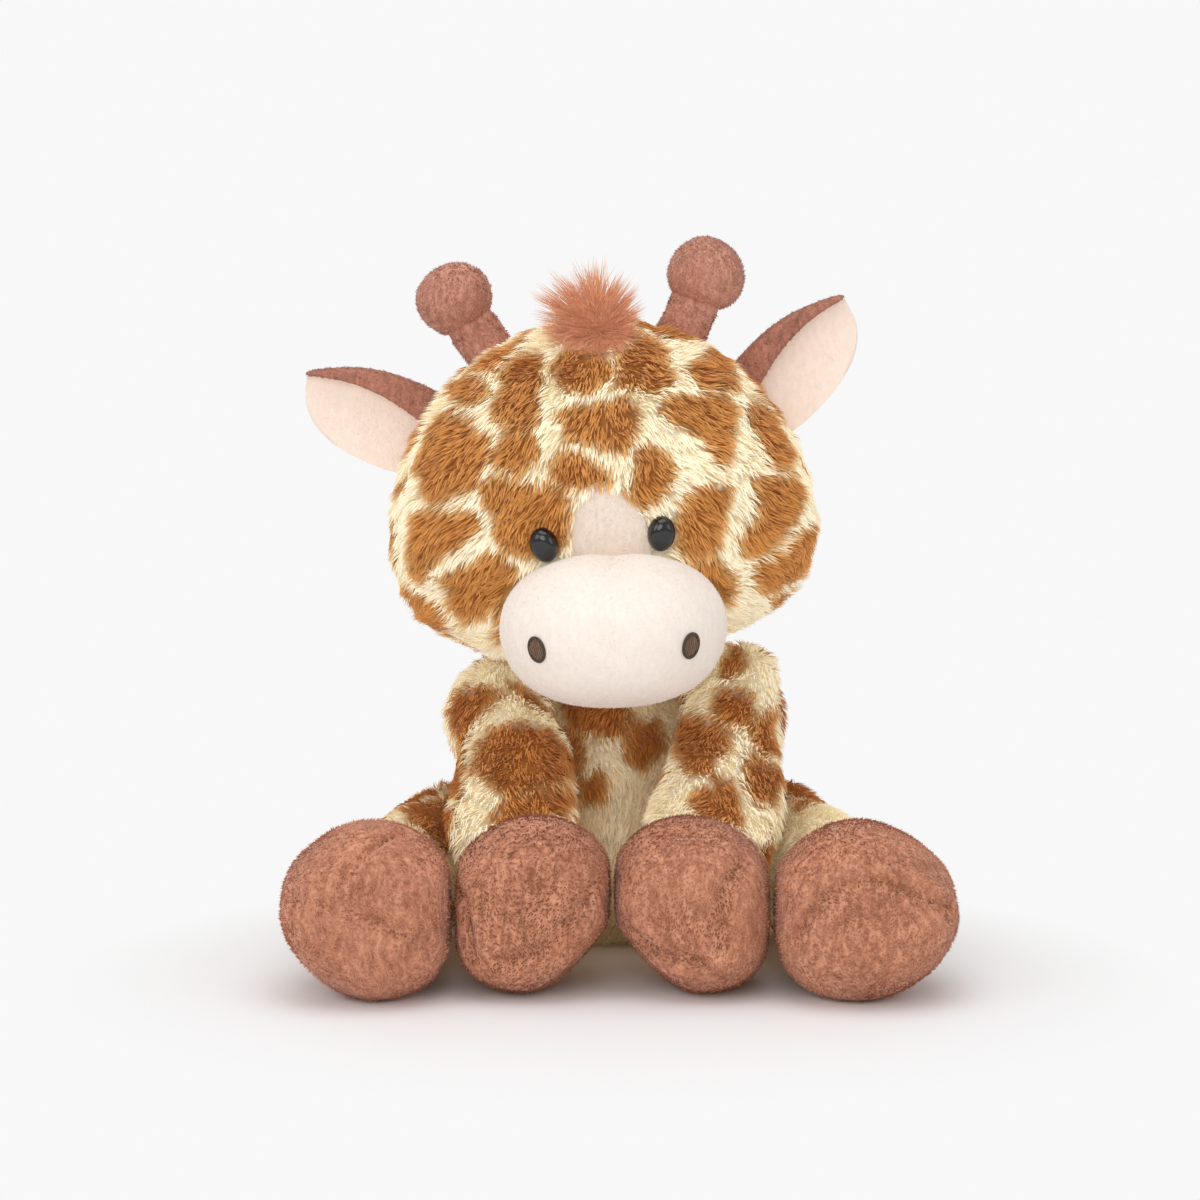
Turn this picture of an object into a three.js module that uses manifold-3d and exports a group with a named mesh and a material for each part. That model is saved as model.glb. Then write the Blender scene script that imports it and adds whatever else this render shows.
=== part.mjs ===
// Seated plush giraffe, built as its sewn panels, fillings and fittings.
// Millimetres, +Z up, the face looks along -Y, origin at the middle of the flat seat on the floor.
// "right" and "left" are the animal's own sides: its right is at -X.

import * as THREE from 'three';
import { mergeVertices } from 'three/addons/utils/BufferGeometryUtils.js';
import Module from 'manifold-3d';

const wasm = await Module();
wasm.setup();

const degree = Math.PI / 180;
const up = new THREE.Vector3(0, 0, 1);

// Gaps and fabrics
const seamGap = 0.3;
const jointGap = 0.8;
const furThickness = 5.5;
const sleeveThickness = 4.5;
const plushThickness = 2.6;
const neckThickness = 2.4;
const cutterReach = 400;
const round = 2;

// Head, measured in its own frame: x to the animal's left, y back, z up
const headWidth = 128;
const headDepth = 104;
const headHeight = 104;
const headSquareness = 2.25;
const headTaperShare = 0.217;
const headShift = -5.7;
const headForward = 20;
const headRise = 152.5;
const headRoll = -5.5;
const gussetFaceWidth = 28;
const gussetCrownWidth = 42;

// Neck ball that the head and the body both sit on
const neckRadius = 21;
const neckRise = 95;
const neckOpening = 9;

// Muzzle
const muzzleWidth = 72;
const muzzleDepth = 70;
const muzzleHeight = 46.5;
const muzzleSquareness = 2.35;
const muzzleForward = 46;
const muzzleDrop = 37.2;
const muzzleShift = 0.7;
const muzzleRoll = 4;

// Blaze of short plush between the eyes
const blazeWidth = 25;
const blazeFootDrop = 24;
const blazeShoulderDrop = 16;
const blazeTopRise = 5.4;
const blazeShift = 1.5;
const blazeThickness = 2;
const blazeSink = 2;

// Eyes: domed ovals on a stem, locked by a washer behind the fabric
const eyeWidth = 9.2;
const eyeHeight = 11.8;
const eyeDome = 4.6;
const eyeSpacing = 37.2;
const eyeDrop = 10.1;
const eyeSink = 2.4;
const eyeStemRadius = 1.7;
const eyeStemLength = 8;
const washerRadius = 5.5;
const washerThickness = 1.4;
const washerPosition = 5.6;

// Nostrils, satin-stitched ovals
const nostrilWidth = 5.1;
const nostrilHeight = 8.2;
const nostrilSpacing = 47.4;
const nostrilDrop = 2;
const nostrilLean = 12;
const nostrilRaise = 0.6;
const nostrilDepth = 0.8;

// Ossicones: a stem and a round knob, sunk into the crown
const ossiconeSpacing = 62;
const ossiconeBack = 5;
const ossiconeSink = 5.5;
const ossiconeStemRadius = 8.4;
const ossiconeNeckRadius = 8;
const ossiconeReach = 22.5;
const ossiconeFlex = 12;
const ossiconeSplay = 29;
const ossiconeLeanBack = 2;
const knobDiameter = 25.6;

// Ears: a back and a lining, the upper edge folded over the lining as a flap that narrows to the tip
const earSpacing = 108.6;
const earBack = 10;
const earRise = 20;
const earLength = 45;
const earSink = 7;
const earWidth = 26;
const earTipWidth = 2;
const earBulge = 4;
const earLayer = 1.4;
const earSet = 2.6;
const earFoldRadius = 2;
const earRootFlap = 15.3;
const earTipFlap = 4.5;
const earRootFold = 172;
const earTipFold = 150;
const earCup = 30;
const rightEarLift = 14.2;
const leftEarLift = 27.6;
const earSweep = 8;
const earTaperPower = 2.6;
const earTipPower = 1.9;
const earTipEase = 1.5;

// Forelock and mane of long pile
const forelockWidth = 29;
const forelockDepth = 30;
const forelockHeight = 32;
const forelockShift = 1.5;
const forelockForward = 22;
const forelockLift = 3;
const maneWidth = 17;
const maneHeight = 9;
const maneFrontBack = 4;
const maneFoot = 22;

// Body
const torsoWidth = 110;
const torsoDepth = 88;
const torsoTop = 94;
const torsoMiddle = 40;
const torsoSquareness = 2.3;
const seatThickness = 3;
const bagWidth = 54;
const bagDepth = 46;
const bagHeight = 24;

// Hooves stand side by side on the floor, each in its own strip of width
const hoofGap = 0.3;
const frontHoofWidth = 50;
const frontHoofDepth = 52;
const frontHoofHeight = 56;
const frontHoofForward = 87;
const frontHoofShift = -1.6;
const rightRearHoofWidth = 55;
const leftRearHoofWidth = 58;
const rearHoofDepth = 56;
const rearHoofHeight = 55.5;
const rearHoofForward = 92;
const hoofFlat = 0.8;
const hoofSquareness = 2.3;
const frontSoleOffset = 10;
const rearSoleOffset = 6;
const rearSoleTurn = 14;
const rearSoleTip = 37;

// Arms and legs
const shoulderSpacing = 77;
const shoulderForward = 15;
const shoulderRise = 76;
const shoulderRadius = 18.5;
const wristRadius = 20;
const armSwing = 24;
const hipSpacing = 111;
const hipForward = 0;
const hipRadius = 24;
const hipClearance = 2.5;
const ankleRadius = 21;
const legSwing = 28;
const swingSteps = 2;

// Tail with its tuft
const tailRadius = 4.4;
const tailEndRadius = 3.6;
const tailRise = 40;
const tailBack = 43.5;
const tailLength = 34;
const tailSlope = 38;
const tailTuftWidth = 15;
const tailTuftLength = 20;
const tailWall = 1.4;

// Facets round the forms
const headFacets = 24;
const torsoFacets = 20;
const muzzleFacets = 18;
const hoofFacets = 16;
const limbFacets = 12;
const smallFacets = 10;
const innerFacets = 12;
const seatFacets = 16;
const rootFacets = 14;
const eyeFacets = 14;
const arcSteps = 3;
const earSteps = 9;
const earLowerStrips = 4;
const earArcStrips = 4;
const earFlapStrips = 1;

// Colours
function fabric(colour, roughness) {
  return new THREE.MeshStandardMaterial({ color: colour, roughness, metalness: 0 });
}
const spottedFur = fabric(0xdcb077, 1);
const creamPlush = fabric(0xfbe9dc, 0.95);
const blazePlush = fabric(0xf3d9c8, 0.95);
const brownPlush = fabric(0xa9694f, 0.95);
const hoofPlush = fabric(0xb27058, 0.95);
const longPile = fabric(0xd08f76, 1);
const filling = fabric(0xf4f2ec, 1);
const pellets = fabric(0xd9d5c8, 0.9);
const stitches = fabric(0x7a5a45, 0.8);
const gloss = new THREE.MeshStandardMaterial({ color: 0x0c0c0e, roughness: 0.08, metalness: 0 });
const washerPlastic = new THREE.MeshStandardMaterial({ color: 0xe6e6e2, roughness: 0.4, metalness: 0 });

// Closed geometry to a solid: shared points are merged, folded triangles dropped, faces turned outwards
function solid(geometry) {
  const bare = geometry.clone();
  bare.deleteAttribute('normal');
  bare.deleteAttribute('uv');
  const merged = mergeVertices(bare);
  const points = merged.attributes.position;
  const triangles = [];
  let volume = 0;
  const a = new THREE.Vector3();
  const b = new THREE.Vector3();
  const c = new THREE.Vector3();
  for (let i = 0; i < merged.index.count; i += 3) {
    const corner = [merged.index.getX(i), merged.index.getX(i + 1), merged.index.getX(i + 2)];
    if (new Set(corner).size < corner.length) continue;
    triangles.push(...corner);
    a.fromBufferAttribute(points, corner[0]);
    b.fromBufferAttribute(points, corner[1]);
    c.fromBufferAttribute(points, corner[2]);
    volume += a.dot(b.cross(c));
  }
  if (volume < 0) triangles.reverse();
  const mesh = new wasm.Mesh({
    numProp: 3,
    vertProperties: Float32Array.from(points.array),
    triVerts: Uint32Array.from(triangles),
  });
  return new wasm.Manifold(mesh);
}

// The same solid after a move
function moved(body, matrix) {
  return body.transform(matrix.elements);
}

function shifted(body, place) {
  return body.translate([place.x, place.y, place.z]);
}

// A round pillow: an ellipsoid drawn towards a box as its squareness grows.
// A taper share makes it narrower towards the top and wider towards the foot.
function pillow(width, depth, height, squareness, facets, taperShare = 0) {
  const geometry = new THREE.SphereGeometry(1, facets, Math.round(facets / 2));
  geometry.rotateX(Math.PI / 2);
  const points = geometry.attributes.position;
  const point = new THREE.Vector3();
  for (let i = 0; i < points.count; i += 1) {
    point.fromBufferAttribute(points, i);
    const spread = Math.abs(point.x) ** squareness + Math.abs(point.y) ** squareness
      + Math.abs(point.z) ** squareness;
    point.multiplyScalar(1 / spread ** (1 / squareness));
    point.x *= 1 - taperShare * point.z;
    points.setXYZ(i, point.x * width / 2, point.y * depth / 2, point.z * height / 2);
  }
  return solid(geometry);
}

function ball(radius, facets) {
  return pillow(2 * radius, 2 * radius, 2 * radius, round, facets);
}

// A tapered rod along +Z from a ball at the origin to a flat end
function taperedRod(rootRadius, endRadius, reach, facets) {
  const profile = [];
  for (let i = 0; i <= arcSteps; i += 1) {
    const angle = -Math.PI / 2 + (i / arcSteps) * (Math.PI / 2);
    profile.push(new THREE.Vector2(i ? rootRadius * Math.cos(angle) : 0, rootRadius * Math.sin(angle)));
  }
  profile.push(new THREE.Vector2(endRadius, reach));
  profile.push(new THREE.Vector2(0, reach));
  const geometry = new THREE.LatheGeometry(profile, facets);
  geometry.rotateX(Math.PI / 2);
  return solid(geometry);
}

// A plain cone along +Z from the origin, flat at both ends
function cone(rootRadius, endRadius, reach, facets) {
  const geometry = new THREE.CylinderGeometry(endRadius, rootRadius, reach, facets);
  geometry.rotateX(Math.PI / 2);
  geometry.translate(0, 0, reach / 2);
  return solid(geometry);
}

// A block from one corner to the other
function block(low, high) {
  const size = high.clone().sub(low);
  const geometry = new THREE.BoxGeometry(size.x, size.y, size.z);
  geometry.translate((low.x + high.x) / 2, (low.y + high.y) / 2, (low.z + high.z) / 2);
  return solid(geometry);
}

// All that lies on the far side of a plane through a point
function beyond(point, normal) {
  const geometry = new THREE.BoxGeometry(cutterReach, cutterReach, cutterReach);
  geometry.translate(0, 0, cutterReach / 2);
  const turn = new THREE.Quaternion().setFromUnitVectors(up, normal.clone().normalize());
  const matrix = new THREE.Matrix4().compose(point, turn, new THREE.Vector3(1, 1, 1));
  return moved(solid(geometry), matrix);
}

// A flat outline in x and z, drawn through the whole depth in y
function frontPrism(points, reach) {
  const outline = new THREE.Shape(points);
  const geometry = new THREE.ExtrudeGeometry(outline, { depth: 2 * reach, bevelEnabled: false });
  geometry.translate(0, 0, -reach);
  geometry.rotateX(Math.PI / 2);
  return solid(geometry);
}

// A solid back to a named mesh
function piece(name, body, material, place = new THREE.Vector3()) {
  const mesh = shifted(body, place.clone().negate()).getMesh();
  const geometry = new THREE.BufferGeometry();
  geometry.setAttribute('position', new THREE.BufferAttribute(Float32Array.from(mesh.vertProperties), 3));
  geometry.setIndex(new THREE.BufferAttribute(Uint32Array.from(mesh.triVerts), 1));
  geometry.computeVertexNormals();
  const result = new THREE.Mesh(geometry, material);
  result.name = name;
  result.position.copy(place);
  return result;
}

// A stuffed limb: a sleeve with a ball root, a cover round its tip, and one filling through both.
// rod(inset) and tip(inset) give the two outlines drawn in by an inset.
function stuffedLimb(rod, tip, sleeveWall, tipWall) {
  return {
    sleeve: rod(0).subtract(rod(sleeveWall)).subtract(tip(-seamGap)),
    cover: tip(0).subtract(tip(tipWall)).subtract(rod(sleeveWall)),
    filling: rod(sleeveWall + seamGap).add(tip(tipWall + seamGap)),
  };
}

// Frames
const headCentre = new THREE.Vector3(headShift, -headForward, headRise);
const headFrame = new THREE.Matrix4().makeRotationY(headRoll * degree).setPosition(headCentre);
const neckCentre = new THREE.Vector3(0, 0, neckRise);
const neckInHead = neckCentre.clone().applyMatrix4(headFrame.clone().invert());
const muzzleCentre = new THREE.Vector3(muzzleShift, -muzzleForward, -muzzleDrop);
const muzzleFrame = new THREE.Matrix4().makeRotationY(muzzleRoll * degree).setPosition(muzzleCentre);

// Outlines of the head, each drawn in by an inset
function headOutline(inset, facets = headFacets) {
  return pillow(
    headWidth - 2 * inset,
    headDepth - 2 * inset,
    headHeight - 2 * inset,
    headSquareness,
    facets,
    headTaperShare,
  );
}

function muzzleOutline(inset, facets = muzzleFacets) {
  const body = pillow(
    muzzleWidth - 2 * inset,
    muzzleDepth - 2 * inset,
    muzzleHeight - 2 * inset,
    muzzleSquareness,
    facets,
  );
  return moved(body, muzzleFrame);
}

// How wide the head is at a height, against its width in the middle
function headTaper(z) {
  return 1 - headTaperShare * 2 * z / headHeight;
}

// How far out a place lies from the middle of the head, as shares of its half sizes
function headShares(place) {
  return new THREE.Vector3(
    Math.abs(2 * place.x) / (headWidth * headTaper(place.z)),
    Math.abs(2 * place.y) / headDepth,
    Math.abs(2 * place.z) / headHeight,
  );
}

// Where a straight line from the front, at x and z, meets the head
function faceAt(x, z) {
  const out = headShares(new THREE.Vector3(x, 0, z));
  const rest = 1 - out.x ** headSquareness - out.z ** headSquareness;
  return -(headDepth / 2) * rest ** (1 / headSquareness);
}

// The blaze has straight sides over the muzzle and a half ellipse above them
function blazeOutline(grow) {
  const half = blazeWidth / 2 + grow;
  const low = -blazeFootDrop - grow;
  const rise = blazeTopRise + blazeShoulderDrop + grow;
  const points = [new THREE.Vector2(blazeShift - half, low), new THREE.Vector2(blazeShift + half, low)];
  for (let i = 0; i <= 2 * arcSteps; i += 1) {
    const angle = (i / (2 * arcSteps)) * Math.PI;
    const height = rise * Math.sin(angle) - blazeShoulderDrop;
    points.push(new THREE.Vector2(blazeShift + half * Math.cos(angle), height));
  }
  return frontPrism(points, headDepth).intersect(beyond(new THREE.Vector3(), new THREE.Vector3(0, -1, 0)));
}

// The middle panel of the head runs over the crown and widens towards it
function gussetOutline(grow) {
  const face = gussetFaceWidth / 2 + grow;
  const crown = gussetCrownWidth / 2 + grow;
  return frontPrism([
    new THREE.Vector2(-face, -headHeight),
    new THREE.Vector2(face, -headHeight),
    new THREE.Vector2(face, -eyeDrop),
    new THREE.Vector2(crown, headHeight / 2),
    new THREE.Vector2(crown, headHeight),
    new THREE.Vector2(-crown, headHeight),
    new THREE.Vector2(-crown, headHeight / 2),
    new THREE.Vector2(-face, -eyeDrop),
  ], headDepth);
}

// The small panel under the chin, between the muzzle and the neck
function throatOutline() {
  return block(
    new THREE.Vector3(-headWidth, -headDepth, -headHeight),
    new THREE.Vector3(headWidth, neckInHead.y, -muzzleDrop),
  );
}

// Eyes
function eyePlace(side) {
  const x = side * eyeSpacing / 2;
  return new THREE.Vector3(x, faceAt(x, -eyeDrop) + eyeSink, -eyeDrop);
}

// The eye looks along the slope of the face under it
function eyeTurn(side) {
  const place = eyePlace(side);
  const out = headShares(place);
  const taper = headTaper(place.z);
  const power = headSquareness - 1;
  const outward = new THREE.Vector3(
    side * out.x ** power / (headWidth * taper),
    -(out.y ** power) / headDepth,
    (headTaperShare * out.x ** headSquareness / taper - out.z ** power) / headHeight,
  );
  return new THREE.Quaternion().setFromUnitVectors(up, outward.normalize());
}

function eyeMatrix(side) {
  return new THREE.Matrix4().compose(eyePlace(side), eyeTurn(side), new THREE.Vector3(1, 1, 1));
}

// Axis +Z points out of the face; the dome stands on a flat back at z = 0
function eyeBody(grow) {
  const radius = eyeWidth / 2 + grow;
  const profile = [new THREE.Vector2(0, -eyeStemLength)];
  profile.push(new THREE.Vector2(eyeStemRadius + grow, -eyeStemLength));
  profile.push(new THREE.Vector2(eyeStemRadius + grow, -grow));
  for (let i = 0; i < arcSteps; i += 1) {
    const angle = (i / arcSteps) * (Math.PI / 2);
    profile.push(new THREE.Vector2(radius * Math.cos(angle), (eyeDome + grow) * Math.sin(angle) - grow));
  }
  profile.push(new THREE.Vector2(0, eyeDome));
  const geometry = new THREE.LatheGeometry(profile, eyeFacets);
  geometry.rotateX(Math.PI / 2);
  const points = geometry.attributes.position;
  for (let i = 0; i < points.count; i += 1) {
    if (points.getZ(i) > -2 * grow - seamGap) points.setY(i, points.getY(i) * eyeHeight / eyeWidth);
  }
  return solid(geometry);
}

function washerBody(grow) {
  const outer = washerRadius + grow;
  const inner = eyeStemRadius + seamGap - grow;
  const near = -washerPosition + grow;
  const far = -washerPosition - washerThickness - grow;
  const profile = [
    new THREE.Vector2(inner, far),
    new THREE.Vector2(outer, far),
    new THREE.Vector2(outer, near),
    new THREE.Vector2(inner, near),
    new THREE.Vector2(inner, far),
  ];
  const geometry = new THREE.LatheGeometry(profile, smallFacets);
  geometry.rotateX(Math.PI / 2);
  return solid(geometry);
}

// Room that an eye, its stem and its washer need in the fabric and the filling
function eyeRoom(side) {
  const stem = taperedRod(eyeStemRadius + seamGap, eyeStemRadius + seamGap, 2 * eyeStemLength, smallFacets);
  const washer = taperedRod(washerRadius + seamGap, washerRadius + seamGap, eyeStemLength, smallFacets);
  const bore = shifted(stem, new THREE.Vector3(0, 0, -eyeStemLength - seamGap));
  const pocket = shifted(washer, new THREE.Vector3(0, 0, -washerPosition - eyeStemLength + seamGap));
  return {
    bore: moved(bore.add(eyeBody(seamGap)), eyeMatrix(side)),
    pocket: moved(pocket.add(bore), eyeMatrix(side)),
  };
}

// Nostrils follow the muzzle's skin inside an oval outline
function nostrilPrism(side, grow) {
  const width = nostrilWidth / 2 + grow;
  const height = nostrilHeight / 2 + grow;
  const lean = side * nostrilLean * degree;
  const outline = new THREE.EllipseCurve(0, 0, width, height, 0, 2 * Math.PI, false, lean);
  const points = outline.getPoints(smallFacets).slice(1);
  const prism = frontPrism(points, muzzleDepth).intersect(
    beyond(new THREE.Vector3(), new THREE.Vector3(0, -1, 0)),
  );
  const local = new THREE.Vector3(side * nostrilSpacing / 2, 0, -nostrilDrop);
  return moved(shifted(prism, local), muzzleFrame);
}

function nostril(side) {
  const raised = nostrilPrism(side, 0).intersect(muzzleOutline(-nostrilRaise));
  return raised.subtract(muzzleOutline(nostrilDepth));
}

function nostrilRecess(side) {
  return nostrilPrism(side, seamGap).subtract(muzzleOutline(nostrilDepth + seamGap));
}

// Ossicones stand on a ball root and lean outwards
function ossiconeRoot(side) {
  return new THREE.Vector3(side * ossiconeSpacing / 2, ossiconeBack, headHeight / 2 - ossiconeSink);
}

function ossiconeMatrix(side) {
  const turn = new THREE.Euler(-ossiconeLeanBack * degree, side * ossiconeSplay * degree, 0);
  return new THREE.Matrix4().makeRotationFromEuler(turn).setPosition(ossiconeRoot(side));
}

function ossiconeRod(inset) {
  return taperedRod(ossiconeStemRadius - inset, ossiconeNeckRadius - inset, ossiconeReach, smallFacets);
}

// The space that the stem needs in the head as it bends: a ball with a cone above it
function ossiconeRoom(side) {
  const mouth = ossiconeNeckRadius + jointGap + ossiconeReach * Math.tan(ossiconeFlex * degree);
  const funnel = cone(ossiconeStemRadius + jointGap, mouth, ossiconeReach, smallFacets);
  return moved(ball(ossiconeStemRadius + jointGap, rootFacets).add(funnel), ossiconeMatrix(side));
}

function ossicone(side) {
  const tip = (inset) => shifted(
    ball(knobDiameter / 2 - inset, smallFacets),
    new THREE.Vector3(0, 0, ossiconeReach),
  );
  const parts = stuffedLimb(ossiconeRod, tip, plushThickness, plushThickness);
  const matrix = ossiconeMatrix(side);
  return {
    stem: moved(parts.sleeve, matrix),
    knob: moved(parts.cover, matrix),
    filling: moved(parts.filling, matrix),
  };
}

// Ears: a leaf along +X with its upper edge folded forward over the lining
function earRoot(side) {
  return new THREE.Vector3(side * earSpacing / 2, earBack, earRise);
}

function earMatrix(side, lift) {
  const turn = new THREE.Euler(0, -lift * degree, earSweep * degree, 'ZYX');
  const matrix = new THREE.Matrix4().makeRotationFromEuler(turn);
  if (side < 0) matrix.premultiply(new THREE.Matrix4().makeScale(-1, 1, 1));
  return matrix.setPosition(earRoot(side));
}

// Place in the middle of the ear's sheet and the way its back faces there, both in y and z.
// Strips are counted from the lower edge, up over the fold and down to the edge of the flap.
function earSection(share, strip) {
  const tipward = (1 - share ** earTaperPower) ** (1 / earTipPower);
  const width = earTipWidth + (earWidth - earTipWidth) * tipward;
  const flap = earRootFlap + (earTipFlap - earRootFlap) * share;
  const fold = (earRootFold + (earTipFold - earRootFold) * share) * degree;
  if (strip <= earLowerStrips) {
    const cupRadius = earWidth / (earCup * degree);
    const bend = width * (1 - strip / earLowerStrips) / cupRadius;
    return {
      place: new THREE.Vector2(-cupRadius * (1 - Math.cos(bend)), -cupRadius * Math.sin(bend)),
      back: new THREE.Vector2(Math.cos(bend), -Math.sin(bend)),
    };
  }
  const whole = Math.min(fold, flap / earFoldRadius);
  const turned = whole * Math.min(1, (strip - earLowerStrips) / earArcStrips);
  const past = Math.max(0, strip - earLowerStrips - earArcStrips) / earFlapStrips;
  const straight = past * (flap - earFoldRadius * whole);
  const back = new THREE.Vector2(Math.cos(turned), Math.sin(turned));
  const along = new THREE.Vector2(-Math.sin(turned), Math.cos(turned));
  const place = new THREE.Vector2(Math.cos(turned) - 1, Math.sin(turned));
  return { place: place.multiplyScalar(earFoldRadius).addScaledVector(along, straight), back };
}

// near and far are the distances of the layer's two faces behind the middle of the sheet
function earLayerBody(near, far) {
  const strips = earLowerStrips + earArcStrips + earFlapStrips;
  const geometry = new THREE.BoxGeometry(1, 1, 1, earSteps, 1, strips);
  const points = geometry.attributes.position;
  for (let i = 0; i < points.count; i += 1) {
    const eased = 1 - (1 / 2 - points.getX(i)) ** earTipEase;
    const along = eased * (earLength + earSink) - earSink;
    const share = Math.max(0, along / earLength);
    const strip = Math.round((points.getZ(i) + 1 / 2) * strips);
    const section = earSection(share, strip);
    const at = section.place.addScaledVector(section.back, points.getY(i) > 0 ? far : near);
    const bulge = earBulge * Math.sin(share * Math.PI);
    points.setXYZ(i, along, at.x + earSet, at.y + earWidth / 2 + bulge);
  }
  return solid(geometry);
}

// A round slot in the head, in which the root of the ear turns about its own upright axis
function earSeat(side, lift) {
  const halfThickness = earSet + earLayer + seamGap / 2;
  const radius = (Math.hypot(earSink, halfThickness) + jointGap) / Math.cos(Math.PI / rootFacets);
  const over = earFoldRadius + earLayer + seamGap + jointGap;
  const slot = cone(radius, radius, earWidth + 2 * over, rootFacets);
  return moved(shifted(slot, new THREE.Vector3(0, 0, -earWidth / 2 - over)), earMatrix(side, lift));
}

function ear(side, lift) {
  const matrix = earMatrix(side, lift);
  return {
    back: moved(earLayerBody(seamGap / 2, seamGap / 2 + earLayer), matrix),
    lining: moved(earLayerBody(-seamGap / 2 - earLayer, -seamGap / 2), matrix),
  };
}

// Head
const neckSeat = shifted(ball(neckRadius + jointGap, seatFacets), neckInHead);
const ossiconeSeats = [-1, 1].map(ossiconeRoom);
const earSeats = [earSeat(-1, rightEarLift), earSeat(1, leftEarLift)];
const eyeRooms = [-1, 1].map(eyeRoom);

function headCover() {
  let cover = headOutline(0).subtract(headOutline(furThickness, innerFacets));
  const cutters = [neckSeat, muzzleOutline(-seamGap), ...ossiconeSeats, ...earSeats];
  for (const cutter of cutters) cover = cover.subtract(cutter);
  for (const room of eyeRooms) cover = cover.subtract(room.bore).subtract(room.pocket);
  return cover;
}

function headFilling() {
  let body = headOutline(furThickness + seamGap, innerFacets);
  body = body.add(muzzleOutline(plushThickness + seamGap, innerFacets));
  for (const cutter of [neckSeat, ...ossiconeSeats, ...earSeats]) body = body.subtract(cutter);
  for (const room of eyeRooms) body = body.subtract(room.pocket);
  return body;
}

function forelock() {
  const place = new THREE.Vector3(forelockShift, -forelockForward, headHeight / 2 + forelockLift);
  const tuft = pillow(forelockWidth, forelockDepth, forelockHeight, round, innerFacets);
  return shifted(tuft, place).subtract(headOutline(-seamGap));
}

function mane() {
  const strip = block(
    new THREE.Vector3(-maneWidth / 2, maneFrontBack, -maneFoot),
    new THREE.Vector3(maneWidth / 2, headDepth, headHeight),
  );
  return headOutline(-maneHeight, muzzleFacets).intersect(strip).subtract(headOutline(-seamGap));
}

const head = new THREE.Group();
head.position.copy(headCentre);
head.rotation.y = headRoll * degree;
const cover = headCover();
const faceWindow = blazeOutline(seamGap);
const middlePanel = cover.intersect(gussetOutline(-seamGap / 2)).subtract(faceWindow);
head.add(piece('head_gusset', middlePanel.subtract(throatOutline()), spottedFur));
head.add(piece('head_throat', middlePanel.intersect(throatOutline()), spottedFur));
const headSides = cover.subtract(gussetOutline(seamGap / 2));
for (const [name, side] of [['right', -1], ['left', 1]]) {
  const half = beyond(new THREE.Vector3(), new THREE.Vector3(side, 0, 0));
  head.add(piece(`head_side_${name}`, headSides.intersect(half), spottedFur));
}
const blazeLayer = headOutline(blazeSink).subtract(headOutline(blazeSink + blazeThickness));
const blazeFoot = muzzleOutline(-seamGap);
head.add(piece('face_blaze', blazeLayer.intersect(blazeOutline(0)).subtract(blazeFoot), blazePlush));
head.add(piece('head_filling', headFilling(), filling));

const muzzleShell = muzzleOutline(0).subtract(muzzleOutline(plushThickness, innerFacets));
const muzzleCover = muzzleShell.subtract(headOutline(furThickness, innerFacets));
for (const [name, side] of [['right', -1], ['left', 1]]) {
  const outer = beyond(new THREE.Vector3(side * seamGap / 2, 0, 0), new THREE.Vector3(side, 0, 0));
  const seam = moved(outer, muzzleFrame);
  const eyeEdge = side < 0 ? eyeRooms[0].bore : eyeRooms[1].bore;
  const half = muzzleCover.intersect(seam).subtract(nostrilRecess(side)).subtract(eyeEdge);
  head.add(piece(`muzzle_${name}`, half, creamPlush));
  head.add(piece(`nostril_${name}`, nostril(side), stitches));

  const eye = piece(`eye_${name}`, eyeBody(0), gloss);
  eye.position.copy(eyePlace(side));
  eye.quaternion.copy(eyeTurn(side));
  head.add(eye);
  const washer = piece(`eye_washer_${name}`, washerBody(0), washerPlastic);
  washer.position.copy(eyePlace(side));
  washer.quaternion.copy(eyeTurn(side));
  head.add(washer);

  const horn = ossicone(side);
  head.add(piece(`ossicone_${name}_stem`, horn.stem, brownPlush, ossiconeRoot(side)));
  head.add(piece(`ossicone_${name}_knob`, horn.knob, brownPlush, ossiconeRoot(side)));
  head.add(piece(`ossicone_${name}_filling`, horn.filling, filling, ossiconeRoot(side)));

  const leaf = ear(side, side < 0 ? rightEarLift : leftEarLift);
  head.add(piece(`ear_${name}_back`, leaf.back, brownPlush, earRoot(side)));
  head.add(piece(`ear_${name}_lining`, leaf.lining, creamPlush, earRoot(side)));
}
head.add(piece('forelock', forelock(), longPile));
head.add(piece('mane', mane(), longPile));

// Neck
const neckHole = shifted(
  taperedRod(neckOpening, neckOpening, 2 * neckRadius, smallFacets),
  new THREE.Vector3(0, 0, -neckRadius),
);
const neckRing = ball(neckRadius, seatFacets).subtract(ball(neckRadius - neckThickness, seatFacets));
const neckCore = ball(neckRadius - neckThickness - jointGap, seatFacets);
const neck = new THREE.Group();
neck.position.copy(neckCentre);
neck.add(piece('neck_cover', neckRing.subtract(neckHole), spottedFur));
neck.add(piece('neck_filling', neckCore, filling));

// Limbs
function frontHoofCentre(side) {
  const x = frontHoofShift + side * (frontHoofWidth + hoofGap) / 2;
  return new THREE.Vector3(x, -frontHoofForward, frontHoofHeight / 2 - hoofFlat);
}

function rearHoofCentre(side) {
  const inner = frontHoofCentre(side).x + side * (frontHoofWidth / 2 + hoofGap);
  const x = inner + side * rearHoofWidth(side) / 2;
  return new THREE.Vector3(x, -rearHoofForward, rearHoofHeight / 2 - hoofFlat);
}

function rearHoofWidth(side) {
  return side < 0 ? rightRearHoofWidth : leftRearHoofWidth;
}

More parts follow.
